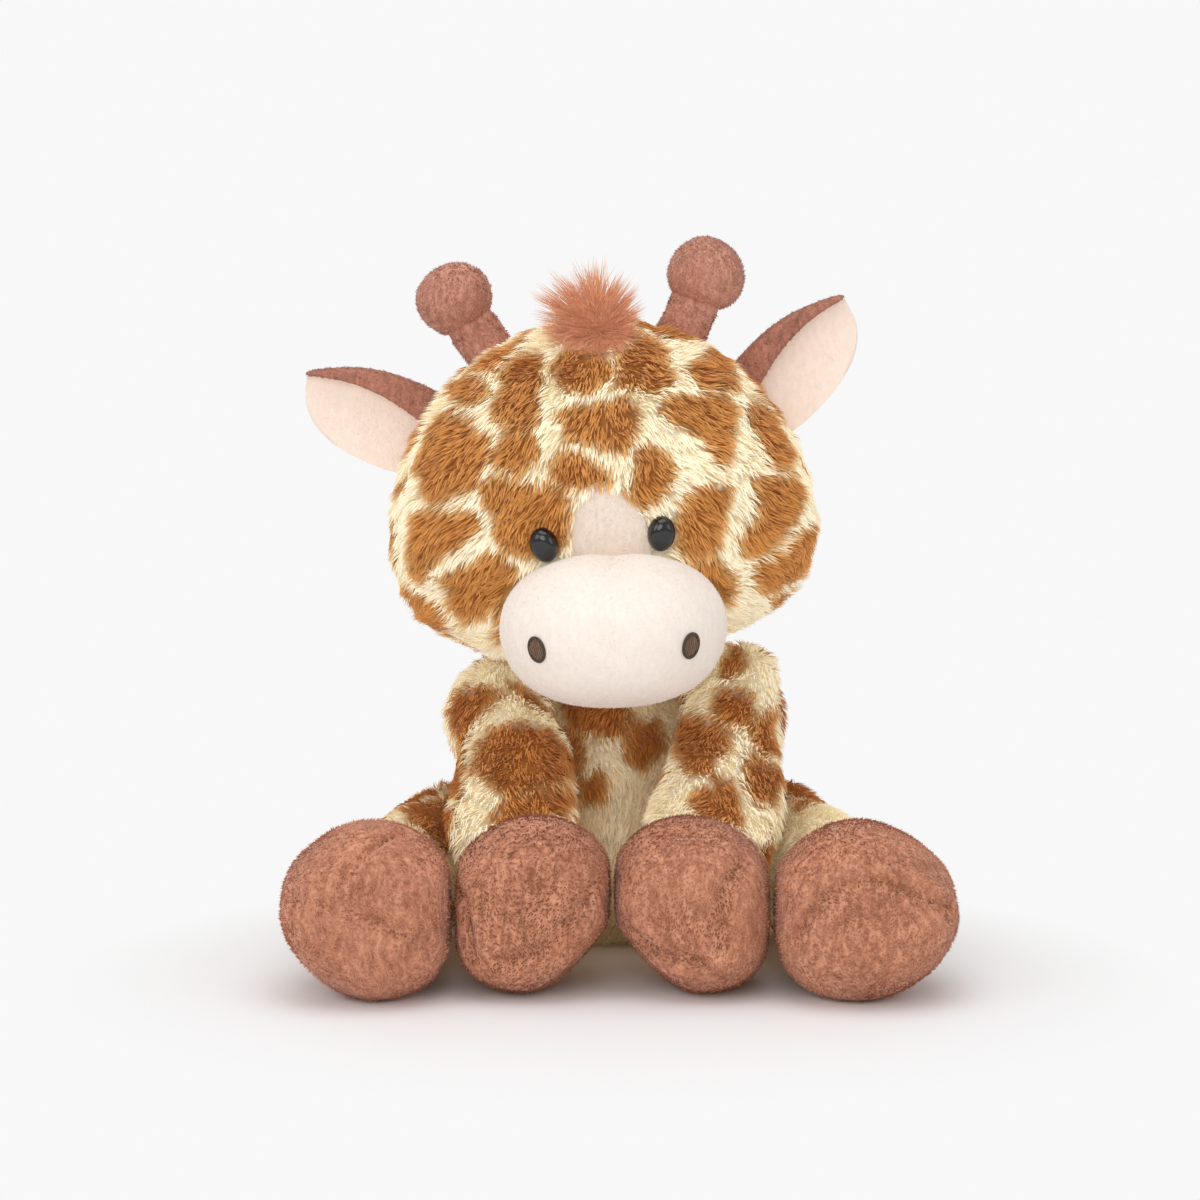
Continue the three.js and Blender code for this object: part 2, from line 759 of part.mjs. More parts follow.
const armPlan = {
  name: 'arm',
  root: (side) => new THREE.Vector3(side * shoulderSpacing / 2, -shoulderForward, shoulderRise),
  hoof: frontHoofCentre,
  size: () => new THREE.Vector3(frontHoofWidth, frontHoofDepth, frontHoofHeight),
  rootRadius: shoulderRadius,
  endRadius: wristRadius,
  swing: armSwing,
  axis: () => new THREE.Vector3(-1, 0, 0),
  soleNormal: () => new THREE.Vector3(0, -1, 0),
  soleOffset: frontSoleOffset,
};
const legPlan = {
  name: 'leg',
  root: (side) => new THREE.Vector3(side * hipSpacing / 2, -hipForward, hipRadius + hipClearance),
  hoof: rearHoofCentre,
  size: (side) => new THREE.Vector3(rearHoofWidth(side), rearHoofDepth, rearHoofHeight),
  rootRadius: hipRadius,
  endRadius: ankleRadius,
  swing: legSwing,
  axis: (side) => new THREE.Vector3(-1, 0, side).normalize(),
  soleNormal: (side) => new THREE.Vector3(
    side * Math.tan(rearSoleTurn * degree),
    -1,
    -Math.tan(rearSoleTip * degree),
  ),
  soleOffset: rearSoleOffset,
};

function limbReach(plan, side) {
  return plan.hoof(side).distanceTo(plan.root(side));
}

function limbMatrix(plan, side) {
  const toHoof = plan.hoof(side).sub(plan.root(side));
  const turn = new THREE.Quaternion().setFromUnitVectors(up, toHoof.normalize());
  return new THREE.Matrix4().compose(plan.root(side), turn, new THREE.Vector3(1, 1, 1));
}

function limbRod(plan, side, inset) {
  const reach = limbReach(plan, side);
  const rod = taperedRod(plan.rootRadius - inset, plan.endRadius - inset, reach, limbFacets);
  return moved(rod, limbMatrix(plan, side));
}

function hoofOutline(plan, side, inset) {
  const size = plan.size(side);
  const body = pillow(
    size.x - 2 * inset,
    size.y - 2 * inset,
    size.z - 2 * inset,
    hoofSquareness,
    inset > seamGap ? smallFacets : hoofFacets,
  );
  const floor = beyond(new THREE.Vector3(0, 0, Math.max(inset, 0)), up);
  return shifted(body, plan.hoof(side)).intersect(floor);
}

function limbParts(plan, side) {
  const rod = (inset) => limbRod(plan, side, inset);
  const tip = (inset) => hoofOutline(plan, side, inset);
  const floor = beyond(new THREE.Vector3(0, 0, 0), up);
  const parts = stuffedLimb(rod, tip, sleeveThickness, plushThickness);
  const normal = plan.soleNormal(side).normalize();
  const seam = plan.hoof(side).addScaledVector(normal, plan.soleOffset);
  const front = beyond(seam.clone().addScaledVector(normal, seamGap), normal);
  const rear = beyond(seam, normal.clone().negate());
  return {
    sleeve: parts.sleeve.intersect(floor),
    hoof: parts.cover.intersect(rear),
    sole: parts.cover.intersect(front),
    filling: parts.filling,
  };
}

// The space a limb needs in the body as it swings about its axis, with the running gap round it
function limbRoom(plan, side) {
  const root = plan.root(side);
  const reach = limbReach(plan, side);
  const funnel = cone(plan.rootRadius + jointGap, plan.endRadius + jointGap, reach, limbFacets);
  const lowered = moved(funnel, limbMatrix(plan, side));
  const seatRadius = (plan.rootRadius + jointGap) / Math.cos(Math.PI / seatFacets);
  let room = lowered.add(shifted(ball(seatRadius, seatFacets), root));
  for (let step = 1; step <= swingSteps; step += 1) {
    const swing = plan.swing * degree * step / swingSteps;
    const turn = new THREE.Matrix4().makeRotationAxis(plan.axis(side), swing);
    const there = new THREE.Matrix4().makeTranslation(root.x, root.y, root.z);
    const back = new THREE.Matrix4().makeTranslation(-root.x, -root.y, -root.z);
    room = room.add(moved(lowered, there.multiply(turn).multiply(back)));
  }
  return room;
}

// Tail: the same stuffed limb with a long-pile tuft for a tip
const tailRoot = new THREE.Vector3(0, tailBack, tailRise);
const tailTurn = new THREE.Matrix4().makeRotationX((Math.PI / 2 + tailSlope * degree) * -1);
const tailFrame = tailTurn.setPosition(tailRoot);
const tailFunnel = cone(tailRadius + jointGap, tailEndRadius + jointGap, tailLength, smallFacets);
const tailBall = shifted(ball(tailRadius + jointGap, smallFacets), tailRoot);
const tailSeat = tailBall.add(moved(tailFunnel, tailFrame));

function tailParts() {
  const rod = taperedRod(tailRadius, tailEndRadius, tailLength, smallFacets);
  const tuft = pillow(tailTuftWidth, tailTuftWidth, tailTuftLength, round, smallFacets);
  const place = new THREE.Vector3(0, 0, tailLength + tailTuftLength / 2 - 2 * tailWall);
  const end = shifted(tuft, place);
  const socketLength = tailLength + seamGap;
  const socket = taperedRod(tailRadius + seamGap, tailEndRadius + seamGap, socketLength, smallFacets);
  return { cord: moved(rod, tailFrame), tuft: moved(end.subtract(socket), tailFrame) };
}

// Body
function torsoOutline(inset, facets = torsoFacets) {
  const height = 2 * (torsoTop - torsoMiddle) - 2 * inset;
  const body = pillow(torsoWidth - 2 * inset, torsoDepth - 2 * inset, height, torsoSquareness, facets);
  return shifted(body, new THREE.Vector3(0, 0, torsoMiddle));
}

function bagOutline(grow) {
  const body = pillow(bagWidth + 2 * grow, bagDepth + 2 * grow, 2 * (bagHeight + grow), round, innerFacets);
  return shifted(body, new THREE.Vector3(0, 0, seatThickness + seamGap));
}

const rooms = [shifted(ball(neckRadius + jointGap, seatFacets), neckCentre), tailSeat];
for (const side of [-1, 1]) {
  rooms.push(limbRoom(armPlan, side));
  rooms.push(limbRoom(legPlan, side));
}

function makeRoom(body) {
  let result = body;
  for (const room of rooms) result = result.subtract(room);
  return result;
}

const aboveSeat = beyond(new THREE.Vector3(0, 0, seatThickness + seamGap), up);
const aboveFloor = beyond(new THREE.Vector3(0, 0, 0), up);
const belowSeam = beyond(new THREE.Vector3(0, 0, seatThickness), up.clone().negate());
const torsoShell = torsoOutline(0).subtract(torsoOutline(furThickness, innerFacets)).intersect(aboveSeat);
const torsoCover = makeRoom(torsoShell);
const torso = new THREE.Group();
const frontHalf = beyond(new THREE.Vector3(0, -seamGap / 2, 0), new THREE.Vector3(0, -1, 0));
const backHalf = beyond(new THREE.Vector3(0, seamGap / 2, 0), new THREE.Vector3(0, 1, 0));
torso.add(piece('torso_front', torsoCover.intersect(frontHalf), spottedFur));
torso.add(piece('torso_back', torsoCover.intersect(backHalf), spottedFur));
const seat = makeRoom(torsoOutline(0).intersect(aboveFloor).intersect(belowSeam));
torso.add(piece('seat_panel', seat, spottedFur));
const torsoCore = torsoOutline(furThickness + seamGap, innerFacets).intersect(aboveSeat);
torso.add(piece('torso_filling', makeRoom(torsoCore.subtract(bagOutline(seamGap))), filling));
torso.add(piece('pellet_bag', bagOutline(0).intersect(aboveSeat), pellets));

const tail = tailParts();
torso.add(piece('tail_cord', tail.cord, spottedFur, tailRoot));
torso.add(piece('tail_tuft', tail.tuft, longPile, tailRoot));

const limbs = new THREE.Group();
for (const plan of [armPlan, legPlan]) {
  for (const [name, side] of [['right', -1], ['left', 1]]) {
    const parts = limbParts(plan, side);
    const root = plan.root(side);
    limbs.add(piece(`${plan.name}_${name}_sleeve`, parts.sleeve, spottedFur, root));
    limbs.add(piece(`${plan.name}_${name}_hoof`, parts.hoof, hoofPlush, root));
    limbs.add(piece(`${plan.name}_${name}_sole`, parts.sole, hoofPlush, root));
    limbs.add(piece(`${plan.name}_${name}_filling`, parts.filling, filling, root));
  }
}

const giraffe = new THREE.Group();
giraffe.add(torso, limbs, neck, head);

export default giraffe;
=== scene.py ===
"""Looks of the seated plush giraffe, and the studio round it."""
import math
from contextlib import contextmanager

import bmesh
import bpy
import numpy as np
from bpy.props import FloatProperty, FloatVectorProperty, IntProperty, PointerProperty
from mathutils import Matrix, Vector
from mathutils.bvhtree import BVHTree
from mathutils.kdtree import KDTree
from numpy.random import default_rng


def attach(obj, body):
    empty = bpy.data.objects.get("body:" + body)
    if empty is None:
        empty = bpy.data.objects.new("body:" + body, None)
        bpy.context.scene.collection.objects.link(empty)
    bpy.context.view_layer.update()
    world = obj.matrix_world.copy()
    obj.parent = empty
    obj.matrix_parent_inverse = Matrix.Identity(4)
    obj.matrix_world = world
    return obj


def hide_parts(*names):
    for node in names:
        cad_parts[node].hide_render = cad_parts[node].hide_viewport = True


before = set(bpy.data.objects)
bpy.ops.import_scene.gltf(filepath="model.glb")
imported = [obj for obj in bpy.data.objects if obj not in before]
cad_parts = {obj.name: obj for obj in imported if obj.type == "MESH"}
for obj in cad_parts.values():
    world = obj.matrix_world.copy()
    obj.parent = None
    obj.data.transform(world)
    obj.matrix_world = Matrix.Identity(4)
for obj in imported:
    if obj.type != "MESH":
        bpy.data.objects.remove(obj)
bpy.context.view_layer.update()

bl_info = {
    "name": "Plush giraffe",
    "version": (1, 0, 0),
    "blender": (4, 5, 0),
    "location": "View3D > Sidebar > Giraffe",
    "description": "Sews, stuffs and brushes a seated plush giraffe",
    "category": "Object",
}

MM = 0.001
SIDES = (("right", -1), ("left", 1))
WALL = 1.2 * MM


def mm(value, text):
    """A length, given in millimetres and kept in metres"""
    return FloatProperty(description=text, default=value * MM, unit="LENGTH", subtype="DISTANCE")


def number(value, text):
    return FloatProperty(description=text, default=value)


def turn(value, text):
    """An angle, given in degrees and kept in radians"""
    return FloatProperty(description=text, default=math.radians(value), unit="ROTATION", subtype="ANGLE")


def colour(value, text):
    return FloatVectorProperty(description=text, default=value, size=3, min=0, max=1, subtype="COLOR_GAMMA")


class HeadSizes(bpy.types.PropertyGroup):
    width: mm(128, "Across the middle at pile height")
    taper: number(0.217, "How much narrower the crown is")
    depth: mm(104, "Front to back")
    height: mm(104, "Chin to crown")
    squareness: number(2.25, "How far the head is drawn to a box")
    shift: mm(-5.7, "To the left")
    forward: mm(20, "Before the seat")
    rise: mm(152.5, "Above the floor")
    roll: turn(-5.5, "Tilt to one side")
    skin_inset: mm(3.6, "Backing cloth below pile height")
    fluff: mm(10, "How much the stuffing widens it")
    gusset_width: mm(30, "Middle panel at the face")
    gusset_flare: number(0.11, "How fast it widens upwards")


class FaceSizes(bpy.types.PropertyGroup):
    muzzle_width: mm(72, "Side to side")
    muzzle_depth: mm(70, "Front to back")
    muzzle_height: mm(46.2, "Top to bottom")
    muzzle_squareness: number(2.35, "How far the muzzle is drawn to a box")
    muzzle_forward: mm(46, "Before the head's middle")
    muzzle_drop: mm(38.5, "Below the head's middle")
    muzzle_shift: mm(0.7, "To the left")
    muzzle_roll: turn(4, "Roll in the head")
    blaze_width: mm(25, "Width at the muzzle")
    blaze_rise: mm(7.2, "Top above the head's middle")
    blaze_shoulder: mm(16, "Where it begins to narrow")
    blaze_drop: mm(24, "Foot below the head's middle")
    blaze_shift: mm(1.5, "To the left")
    eye_width: mm(9.0, "Side to side")
    eye_height: mm(11.6, "Top to bottom")
    eye_dome: mm(4.4, "How far the dome stands out")
    eye_spacing: mm(37.2, "From eye to eye")
    eye_drop: mm(11.1, "Below the head's middle")
    eye_sink: mm(2.2, "Back of the dome below pile height")
    nostril_width: mm(4.4, "Side to side")
    nostril_height: mm(7.4, "Top to bottom")
    nostril_spacing: mm(47.4, "From nostril to nostril")
    nostril_drop: mm(3.8, "Below the muzzle's middle")
    thread: mm(0.62, "Thickness of the thread")


class CrownSizes(bpy.types.PropertyGroup):
    ossicone_spacing: mm(62, "From root to root")
    ossicone_back: mm(5, "Roots behind the head's middle")
    ossicone_rise: mm(46.5, "Roots above the head's middle")
    ossicone_reach: mm(22.5, "Root to the middle of the knob")
    ossicone_radius: mm(8.2, "Of a stem")
    ossicone_splay: turn(29, "Lean to the side")
    ossicone_lean: turn(2, "Lean backwards")
    knob_diameter: mm(25, "Side to side")
    ear_spacing: mm(108.6, "From root to root")
    ear_back: mm(10, "Roots behind the head's middle")
    ear_rise: mm(20, "Roots above the head's middle")
    ear_length: mm(45, "Root to tip")
    ear_sink: mm(7, "How far it reaches into the head")
    ear_width: mm(26, "At the root")
    ear_tip: mm(2, "Width at the tip")
    ear_bulge: mm(4, "How far the upper edge arches")
    ear_layer: mm(1.4, "Thickness of one layer")
    ear_set: mm(2.6, "The sheet behind its hinge")
    ear_fold: mm(2, "Radius of the folded edge")
    ear_root_flap: mm(15.3, "Cloth folded over at the root")
    ear_tip_flap: mm(4.5, "Cloth folded over at the tip")
    ear_root_fold: turn(172, "How far the flap turns at the root")
    ear_tip_fold: turn(150, "How far the flap turns at the tip")
    ear_billow: mm(4, "How far the lower edge swells")
    ear_cup: turn(30, "How far the lower edge curls forward")
    ear_lift_right: turn(14.2, "Slope upwards")
    ear_lift_left: turn(27.6, "Slope upwards")
    ear_sweep: turn(8, "Turn to the back")
    forelock_shift: mm(4.7, "Its root to the left")
    forelock_forward: mm(17, "Its root before the head's middle")
    forelock_rise: mm(52, "Its root above the head's middle")
    forelock_root: mm(4.5, "Radius of the patch that it grows from")
    mane_width: mm(15, "Side to side")


class BodySizes(bpy.types.PropertyGroup):
    width: mm(110, "Across the body")
    depth: mm(88, "Front to back")
    top: mm(94, "Top above the floor")
    middle: mm(40, "Widest place above the floor")
    squareness: number(2.3, "How far the body is drawn to a box")
    neck_radius: mm(21, "Of the hidden neck")
    neck_rise: mm(95, "Above the floor")
    tail_radius: mm(4.2, "Of the cord")
    tail_rise: mm(40, "Root above the floor")
    tail_back: mm(43.5, "Root behind the middle")
    tail_length: mm(34, "Root to tuft")
    tail_slope: turn(38, "Droop of the tail")
    tail_tuft: mm(20, "Length of the tuft")


class LimbSizes(bpy.types.PropertyGroup):
    hoof_gap: mm(0.3, "Between hooves that stand side by side")
    front_width: mm(50, "Side to side")
    front_depth: mm(52, "Front to back")
    front_height: mm(56, "Top to bottom")
    front_forward: mm(87, "Before the seat")
    front_shift: mm(-1.6, "Both to the left")
    rear_width_right: mm(55, "Side to side")
    rear_width_left: mm(58, "Side to side")
    rear_depth: mm(56, "Front to back")
    rear_height: mm(55.5, "Top to bottom")
    rear_forward: mm(92, "Before the seat")
    hoof_flat: mm(0.8, "How far the floor presses a hoof flat")
    squareness: number(2.3, "How far a hoof is drawn to a box")
    shoulder_spacing: mm(77, "From root to root")
    shoulder_forward: mm(15, "Roots before the middle")
    shoulder_rise: mm(76, "Roots above the floor")
    shoulder_radius: mm(18.5, "Arm at its root")
    wrist_radius: mm(20, "Arm at the hoof")
    hip_spacing: mm(111, "From root to root")
    hip_rise: mm(26.5, "Roots above the floor")
    hip_radius: mm(24, "Leg at its root")
    ankle_radius: mm(21, "Leg at the hoof")


class PileSizes(bpy.types.PropertyGroup):
    fur_length: mm(6.3, "Longest tufts")
    fur_width: mm(0.58, "Thickness of a tuft")
    fur_density: number(1.25, "Tufts on a square millimetre")
    fur_lean: number(0.42, "How far a tuft leans to its clump")
    limb_density: number(0.93, "The same on the body and limbs")
    nap_length: mm(1.5, "Short plush")
    nap_width: mm(0.58, "Thickness of a tuft")
    nap_density: number(1.9, "Tufts on a square millimetre")
    long_length: mm(29, "Pile of the forelock")
    roll: number(0.35, "How far tufts roll about their length")
    # Painted glow: strength of the light that long fibres give off
    carried: number(0.2, "Light that long fibres carry")


class ToyColours(bpy.types.PropertyGroup):
    cream: colour((1.0, 0.974, 0.90), "Light fur")
    cream_root: colour((0.98, 0.92, 0.78), "Light fur at its roots")
    patch: colour((0.85, 0.60, 0.33), "Dark fur")
    patch_root: colour((0.644, 0.40, 0.175), "Dark fur at its roots")
    # The body's dark fur, made darker than the head's as painted shade
    body_patch: colour((0.81, 0.535, 0.27), "Dark fur of the body and limbs")
    rim: colour((0.91, 0.73, 0.48), "Fur at the rim of a patch")
    hoof: colour((0.86, 0.615, 0.495), "Plush of the hooves")
    hoof_root: colour((0.60, 0.37, 0.27), "The same at its roots")
    horn: colour((0.84, 0.61, 0.52), "Plush of the ossicones")
    horn_root: colour((0.60, 0.39, 0.32), "The same at its roots")
    ear: colour((0.74, 0.50, 0.42), "Backs of the ears")
    muzzle: colour((0.93, 0.887, 0.846), "Plush of the muzzle")
    blaze: colour((0.95, 0.885, 0.83), "Strip between the eyes")
    lining: colour((0.93, 0.855, 0.80), "Insides of the ears")
    long_pile: colour((0.87, 0.66, 0.52), "Forelock, mane and tail tuft")
    long_root: colour((0.73, 0.48, 0.36), "The long pile at its roots")
    thread: colour((0.47, 0.35, 0.24), "Embroidery of the nostrils")
    outline: colour((0.24, 0.15, 0.10), "Stitches round the nostrils")
    gloss: colour((0.05, 0.05, 0.06), "Moulded eyes")


class StudioSizes(bpy.types.PropertyGroup):
    lens: mm(100, "Focal length")
    sensor: mm(36, "Width of the sensor")
    distance: mm(1087, "Camera to that point")
    elevation: turn(8, "Camera above the horizon")
    aim_x: mm(-5.5, "Point looked at")
    aim_y: mm(-40, "Point looked at")
    aim_z: mm(118, "Point looked at")
    image: IntProperty(description="Side of the photograph in pixels", default=1200)
    floor: mm(6000, "Side of the floor")
    white: number(0.94, "Brightness of the backdrop")


def sizes(name):
    return getattr(bpy.context.scene, "giraffe_" + name)


# Cloth in shade is lit by other cloth, which is warm: powers for red, green and blue
WARMER = np.array((0.8, 1.05, 1.4))


def linear(value):
    """Colour as written to the linear values that the shaders use"""
    value = np.asarray(value, float)
    return np.where(value <= 0.04045, value / 12.92, ((value + 0.055) / 1.055) ** 2.4)


def only(obj):
    bpy.ops.object.select_all(action="DESELECT")
    obj.select_set(True)
    bpy.context.view_layer.objects.active = obj


def fresh(name):
    obj = bpy.context.view_layer.objects.active
    obj.name = name
    obj.data.name = name
    return obj


def started(name, add, **settings):
    """A new piece from one of Blender's own shapes"""
    bpy.ops.object.select_all(action="DESELECT")
    add(**settings)
    return fresh(name)


@contextmanager
def editing(obj, action):
    """Edit mode on one piece, with all of it selected or nothing"""
    only(obj)
    bpy.ops.object.mode_set(mode="EDIT")
    bpy.ops.mesh.select_all(action=action)
    yield
    bpy.ops.object.mode_set(mode="OBJECT")


def corners(obj):
    flat = np.empty(len(obj.data.vertices) * 3)
    obj.data.vertices.foreach_get("co", flat)
    return flat.reshape(-1, 3)


def place_corners(obj, points):
    obj.data.vertices.foreach_set("co", np.ascontiguousarray(points, float).ravel())
    obj.data.update()


def outward(obj):
    """Normals of the corners, pointing out"""
    flat = np.empty(len(obj.data.vertices) * 3)
    obj.data.vertices.foreach_get("normal", flat)
    return flat.reshape(-1, 3)


def apply_all(obj):
    only(obj)
    for modifier in list(obj.modifiers):
        bpy.ops.object.modifier_apply(modifier=modifier.name)


def smooth(obj, angle=60):
    only(obj)
    bpy.ops.object.shade_smooth_by_angle(angle=math.radians(angle))


def far(points, place=0.0):
    """How far each point lies from a place"""
    return np.linalg.norm(points - place, axis=-1)


def unit(value):
    """Held between 0 and 1"""
    return np.clip(value, 0, 1)


def carry(points, matrix):
    """Points moved by a matrix"""
    matrix = np.array(matrix)
    return points @ matrix[:3, :3].T + matrix[:3, 3]


def round_form(name, cuts):
    """A ball of even quads with a radius of 1: a cube, cut and rounded"""
    obj = started(name, bpy.ops.mesh.primitive_cube_add, size=2)
    with editing(obj, "SELECT"):
        bpy.ops.mesh.subdivide(number_cuts=cuts)
        bpy.ops.transform.tosphere(value=1)
    points = corners(obj)
    place_corners(obj, points / far(points)[:, None])
    return obj


def in_order(obj):
    """Sorts the faces, which extruding leaves in another order each run"""
    faces = [list(face.vertices) for face in obj.data.polygons]
    faces = sorted(face[k:] + face[:k] for face in faces for k in [face.index(min(face))])
    points = corners(obj)
    obj.data.clear_geometry()
    obj.data.from_pydata(points, [], faces)


def pillow(name, size, squareness, cuts):
    """A round pillow: a ball drawn towards a box"""
    obj = round_form(name, cuts)
    points = corners(obj)
    spread = (np.abs(points) ** squareness).sum(1) ** (1 / squareness)
    place_corners(obj, points / spread[:, None] * np.array(size) / 2)
    return obj


def sleeve_form(name, root_radius, end_radius, reach, steps, around):
    """A sleeve along +Z, drawn out ring by ring from a round end at the origin"""
    obj = started(name, bpy.ops.mesh.primitive_uv_sphere_add, segments=around, ring_count=around // 2,
                  radius=root_radius)
    with editing(obj, "DESELECT"):
        bpy.ops.mesh.select_mode(type="VERT")
        cage = bmesh.from_edit_mesh(obj.data)
        doomed = [v for v in cage.verts if v.co.z > root_radius * 0.01]
        bmesh.ops.delete(cage, geom=doomed, context="VERTS")
        for edge in cage.edges:
            edge.select = edge.is_boundary
        cage.select_flush_mode()
        bmesh.update_edit_mesh(obj.data)
        bpy.ops.mesh.select_mode(type="EDGE")
        for step in range(steps):
            now = root_radius + (end_radius - root_radius) * step / steps
            then = root_radius + (end_radius - root_radius) * (step + 1) / steps
            bpy.ops.mesh.extrude_region_move(TRANSFORM_OT_translate={"value": (0, 0, reach / steps)})
            bpy.ops.transform.resize(value=(then / now, then / now, 1))
        bpy.ops.mesh.edge_face_add()
    in_order(obj)
    return obj


WAVES = 7


def drift(points, size, seed):
    """Smooth random vectors over space, from waves about one size long"""
    rng = default_rng(seed)
    total = np.zeros((len(points), 3))
    for _ in range(WAVES):
        wave = rng.normal(size=3)
        wave *= 2 * math.pi / (np.linalg.norm(wave) * size) * rng.uniform(0.6, 1.6)
        total += rng.normal(size=3) * np.sin(points @ wave + rng.uniform(0, 2 * math.pi))[:, None]
    return total / math.sqrt(WAVES / 2)


def crumple(obj, size, depth, seed):
    """Uneven stuffing under the cloth"""
    points = corners(obj)
    place_corners(obj, points + outward(obj) * drift(points, size, seed)[:, :1] * depth)


def stuffed(obj, sewn, swell, voxel):
    """Fills a form: cloth under pressure, held where it is sewn, worked at ten times its size"""
    place_corners(obj, corners(obj) * 10)
    weave = obj.modifiers.new("weave", "REMESH")
    weave.mode = "VOXEL"
    weave.voxel_size = voxel * 10
    apply_all(obj)
    start = corners(obj)
    held = obj.vertex_groups.new(name="sewn")
    held.add([int(i) for i in np.flatnonzero(sewn(start / 10))], 1.0, "REPLACE")
    cloth = obj.modifiers.new("stuffing", "CLOTH").settings
    cloth.mass = 0.05
    cloth.tension_stiffness = cloth.compression_stiffness = 3
    cloth.use_pressure = True
    cloth.uniform_pressure_force = 150
    cloth.vertex_group_mass = "sewn"
    cloth.effector_weights.gravity = 0
    for step in range(1, 21):
        bpy.context.scene.frame_set(step)
    apply_all(obj)
    moved = corners(obj) - start
    most = (swell + 0.2 * voxel) * 10
    place_corners(obj, (start + moved * np.minimum(1, most / np.maximum(far(moved)[:, None], 1e-9))) / 10)
    bpy.context.scene.frame_set(1)
    obj.modifiers.new("soft", "SUBSURF").levels = 1
    apply_all(obj)


def drop_inside(obj, inside):
    """Deletes the corners that a test finds covered"""
    points = corners(obj)
    with editing(obj, "DESELECT"):
        bpy.ops.mesh.select_mode(type="VERT")
        cage = bmesh.from_edit_mesh(obj.data)
        cage.verts.ensure_lookup_table()
        for i in np.flatnonzero(inside(points)):
            cage.verts[i].select = True
        cage.select_flush_mode()
        bmesh.update_edit_mesh(obj.data)
        bpy.ops.mesh.delete(type="VERT")


def cut(obj, place, normal):
    """Drops what lies on the normal's side of a plane"""
    with editing(obj, "SELECT"):
        bpy.ops.mesh.bisect(plane_co=place, plane_no=normal, clear_outer=True)


def linked(name, data):
    """An object of the scene made from given data"""
    obj = bpy.data.objects.new(name, data)
    bpy.context.scene.collection.objects.link(obj)
    return obj


def copied(obj, name):
    only(obj)
    bpy.ops.object.duplicate()
    return fresh(name)


def walled(obj, thickness):
    """Gives an open skin its thickness, inwards"""
    only(obj)
    wall = obj.modifiers.new("wall", "SOLIDIFY")
    wall.thickness = thickness
    wall.offset = -1
    apply_all(obj)


def settle(obj, body, slot, *nodes, fill=None):
    """Rides on its body and stands for its node; its slot is not used"""
    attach(obj, body)
    if nodes:
        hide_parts(*nodes)


# Shader maths


class Value:
    """A shader socket that takes part in sums"""

    def __init__(self, finish, socket):
        self.finish = finish
        self.socket = socket

    def maths(self, operation, first, second):
        return self.finish.node("ShaderNodeMath", {"operation": operation}, {0: first, 1: second})[0]

    def __add__(self, other):
        return self.maths("ADD", self, other)

    def __radd__(self, other):
        return self.maths("ADD", other, self)

    def __sub__(self, other):
        return self.maths("SUBTRACT", self, other)

    def __mul__(self, other):
        return self.maths("MULTIPLY", self, other)

    def __rmul__(self, other):
        return self.maths("MULTIPLY", other, self)


class Nodes:
    """A tree of shader nodes"""

    def __init__(self, tree):
        self.tree = tree

    def node(self, kind, settings=None, inputs=None):
        """Adds a node: its settings, then what its sockets take"""
        node = self.tree.nodes.new(kind)
        for key, value in (settings or {}).items():
            if key == "stops":
                self.stops(node.color_ramp, value)
            else:
                setattr(node, key, value)
        for key, value in (inputs or {}).items():
            self.feed(node.inputs[key], value)
        return [Value(self, socket) for socket in node.outputs if not socket.is_unavailable]

    def stops(self, ramp, stops):
        while len(ramp.elements) < len(stops):
            ramp.elements.new(0.5)
        for element, (place, shade) in zip(ramp.elements, stops):
            element.position = place
            element.color = (*linear(shade), 1) if np.ndim(shade) else (shade, shade, shade, 1)

    def feed(self, socket, value):
        if isinstance(value, Value):
            self.tree.links.new(value.socket, socket)
        elif np.ndim(value) and len(value) == 3 and socket.type == "RGBA":
            socket.default_value = (*value, 1)
        else:
            socket.default_value = value


class Finish(Nodes):
    """A material built from nodes"""

    def __init__(self, name):
        self.material = bpy.data.materials.new(name)
        self.material.use_nodes = True
        super().__init__(self.material.node_tree)
        self.shader = self.tree.nodes["Principled BSDF"]
        self.output = self.tree.nodes["Material Output"]

    def place(self):
        return self.node("ShaderNodeTexCoord")[3]

    def noise(self, scale, detail, place=None):
        inputs = {"Vector": place or self.place(), "Scale": scale, "Detail": detail}
        return self.node("ShaderNodeTexNoise", None, inputs)

    def ramp(self, value, stops):
        return self.node("ShaderNodeValToRGB", {"stops": stops}, {0: value})[0]

    def mix(self, factor, first, second, blend="MIX"):
        inputs = {"Factor": factor, 6: first, 7: second}
        return self.node("ShaderNodeMix", {"data_type": "RGBA", "blend_type": blend}, inputs)[0]

    def bump(self, height, depth, strength):
        inputs = {"Height": height, "Distance": depth, "Strength": strength}
        return self.node("ShaderNodeBump", None, inputs)[0]

    def set(self, **values):
        for key, value in values.items():
            self.feed(self.shader.inputs[key.replace("_", " ")], value)
        return self

    def on(self, obj):
        obj.data.materials.clear()
        obj.data.materials.append(self.material)


FINISHES = {}


def finish(name, make):
    """Each finish is made once"""
    if name not in FINISHES:
        FINISHES[name] = make(Finish(name))
    return FINISHES[name]


def pile_finish(made):
    """Nap: dyed fibres, a little uneven along their length, coloured from an attribute that carries painted
    shade as well as the dye
    """
    dye = made.node("ShaderNodeAttribute", {"attribute_name": "dye"})[0]
    mottle = made.noise(900, 2)[0]
    shade = made.ramp(mottle, ((0.25, 0.93), (0.75, 1.0)))
    tinted = made.mix(1.0, dye, shade, "MULTIPLY")
    made.set(Base_Color=tinted, Emission_Color=tinted, Emission_Strength=0.0)
    made.set(Roughness=0.75 + 0.2 * mottle)
    return made.set(Specular_IOR_Level=0.15, Sheen_Weight=0.2, Sheen_Roughness=0.5)


def fur_finish(made):
    """Long fibres with a painted glow: emission stands in for light carried through to their shaded side"""
    return pile_finish(made).set(Emission_Strength=sizes("pile").carried)


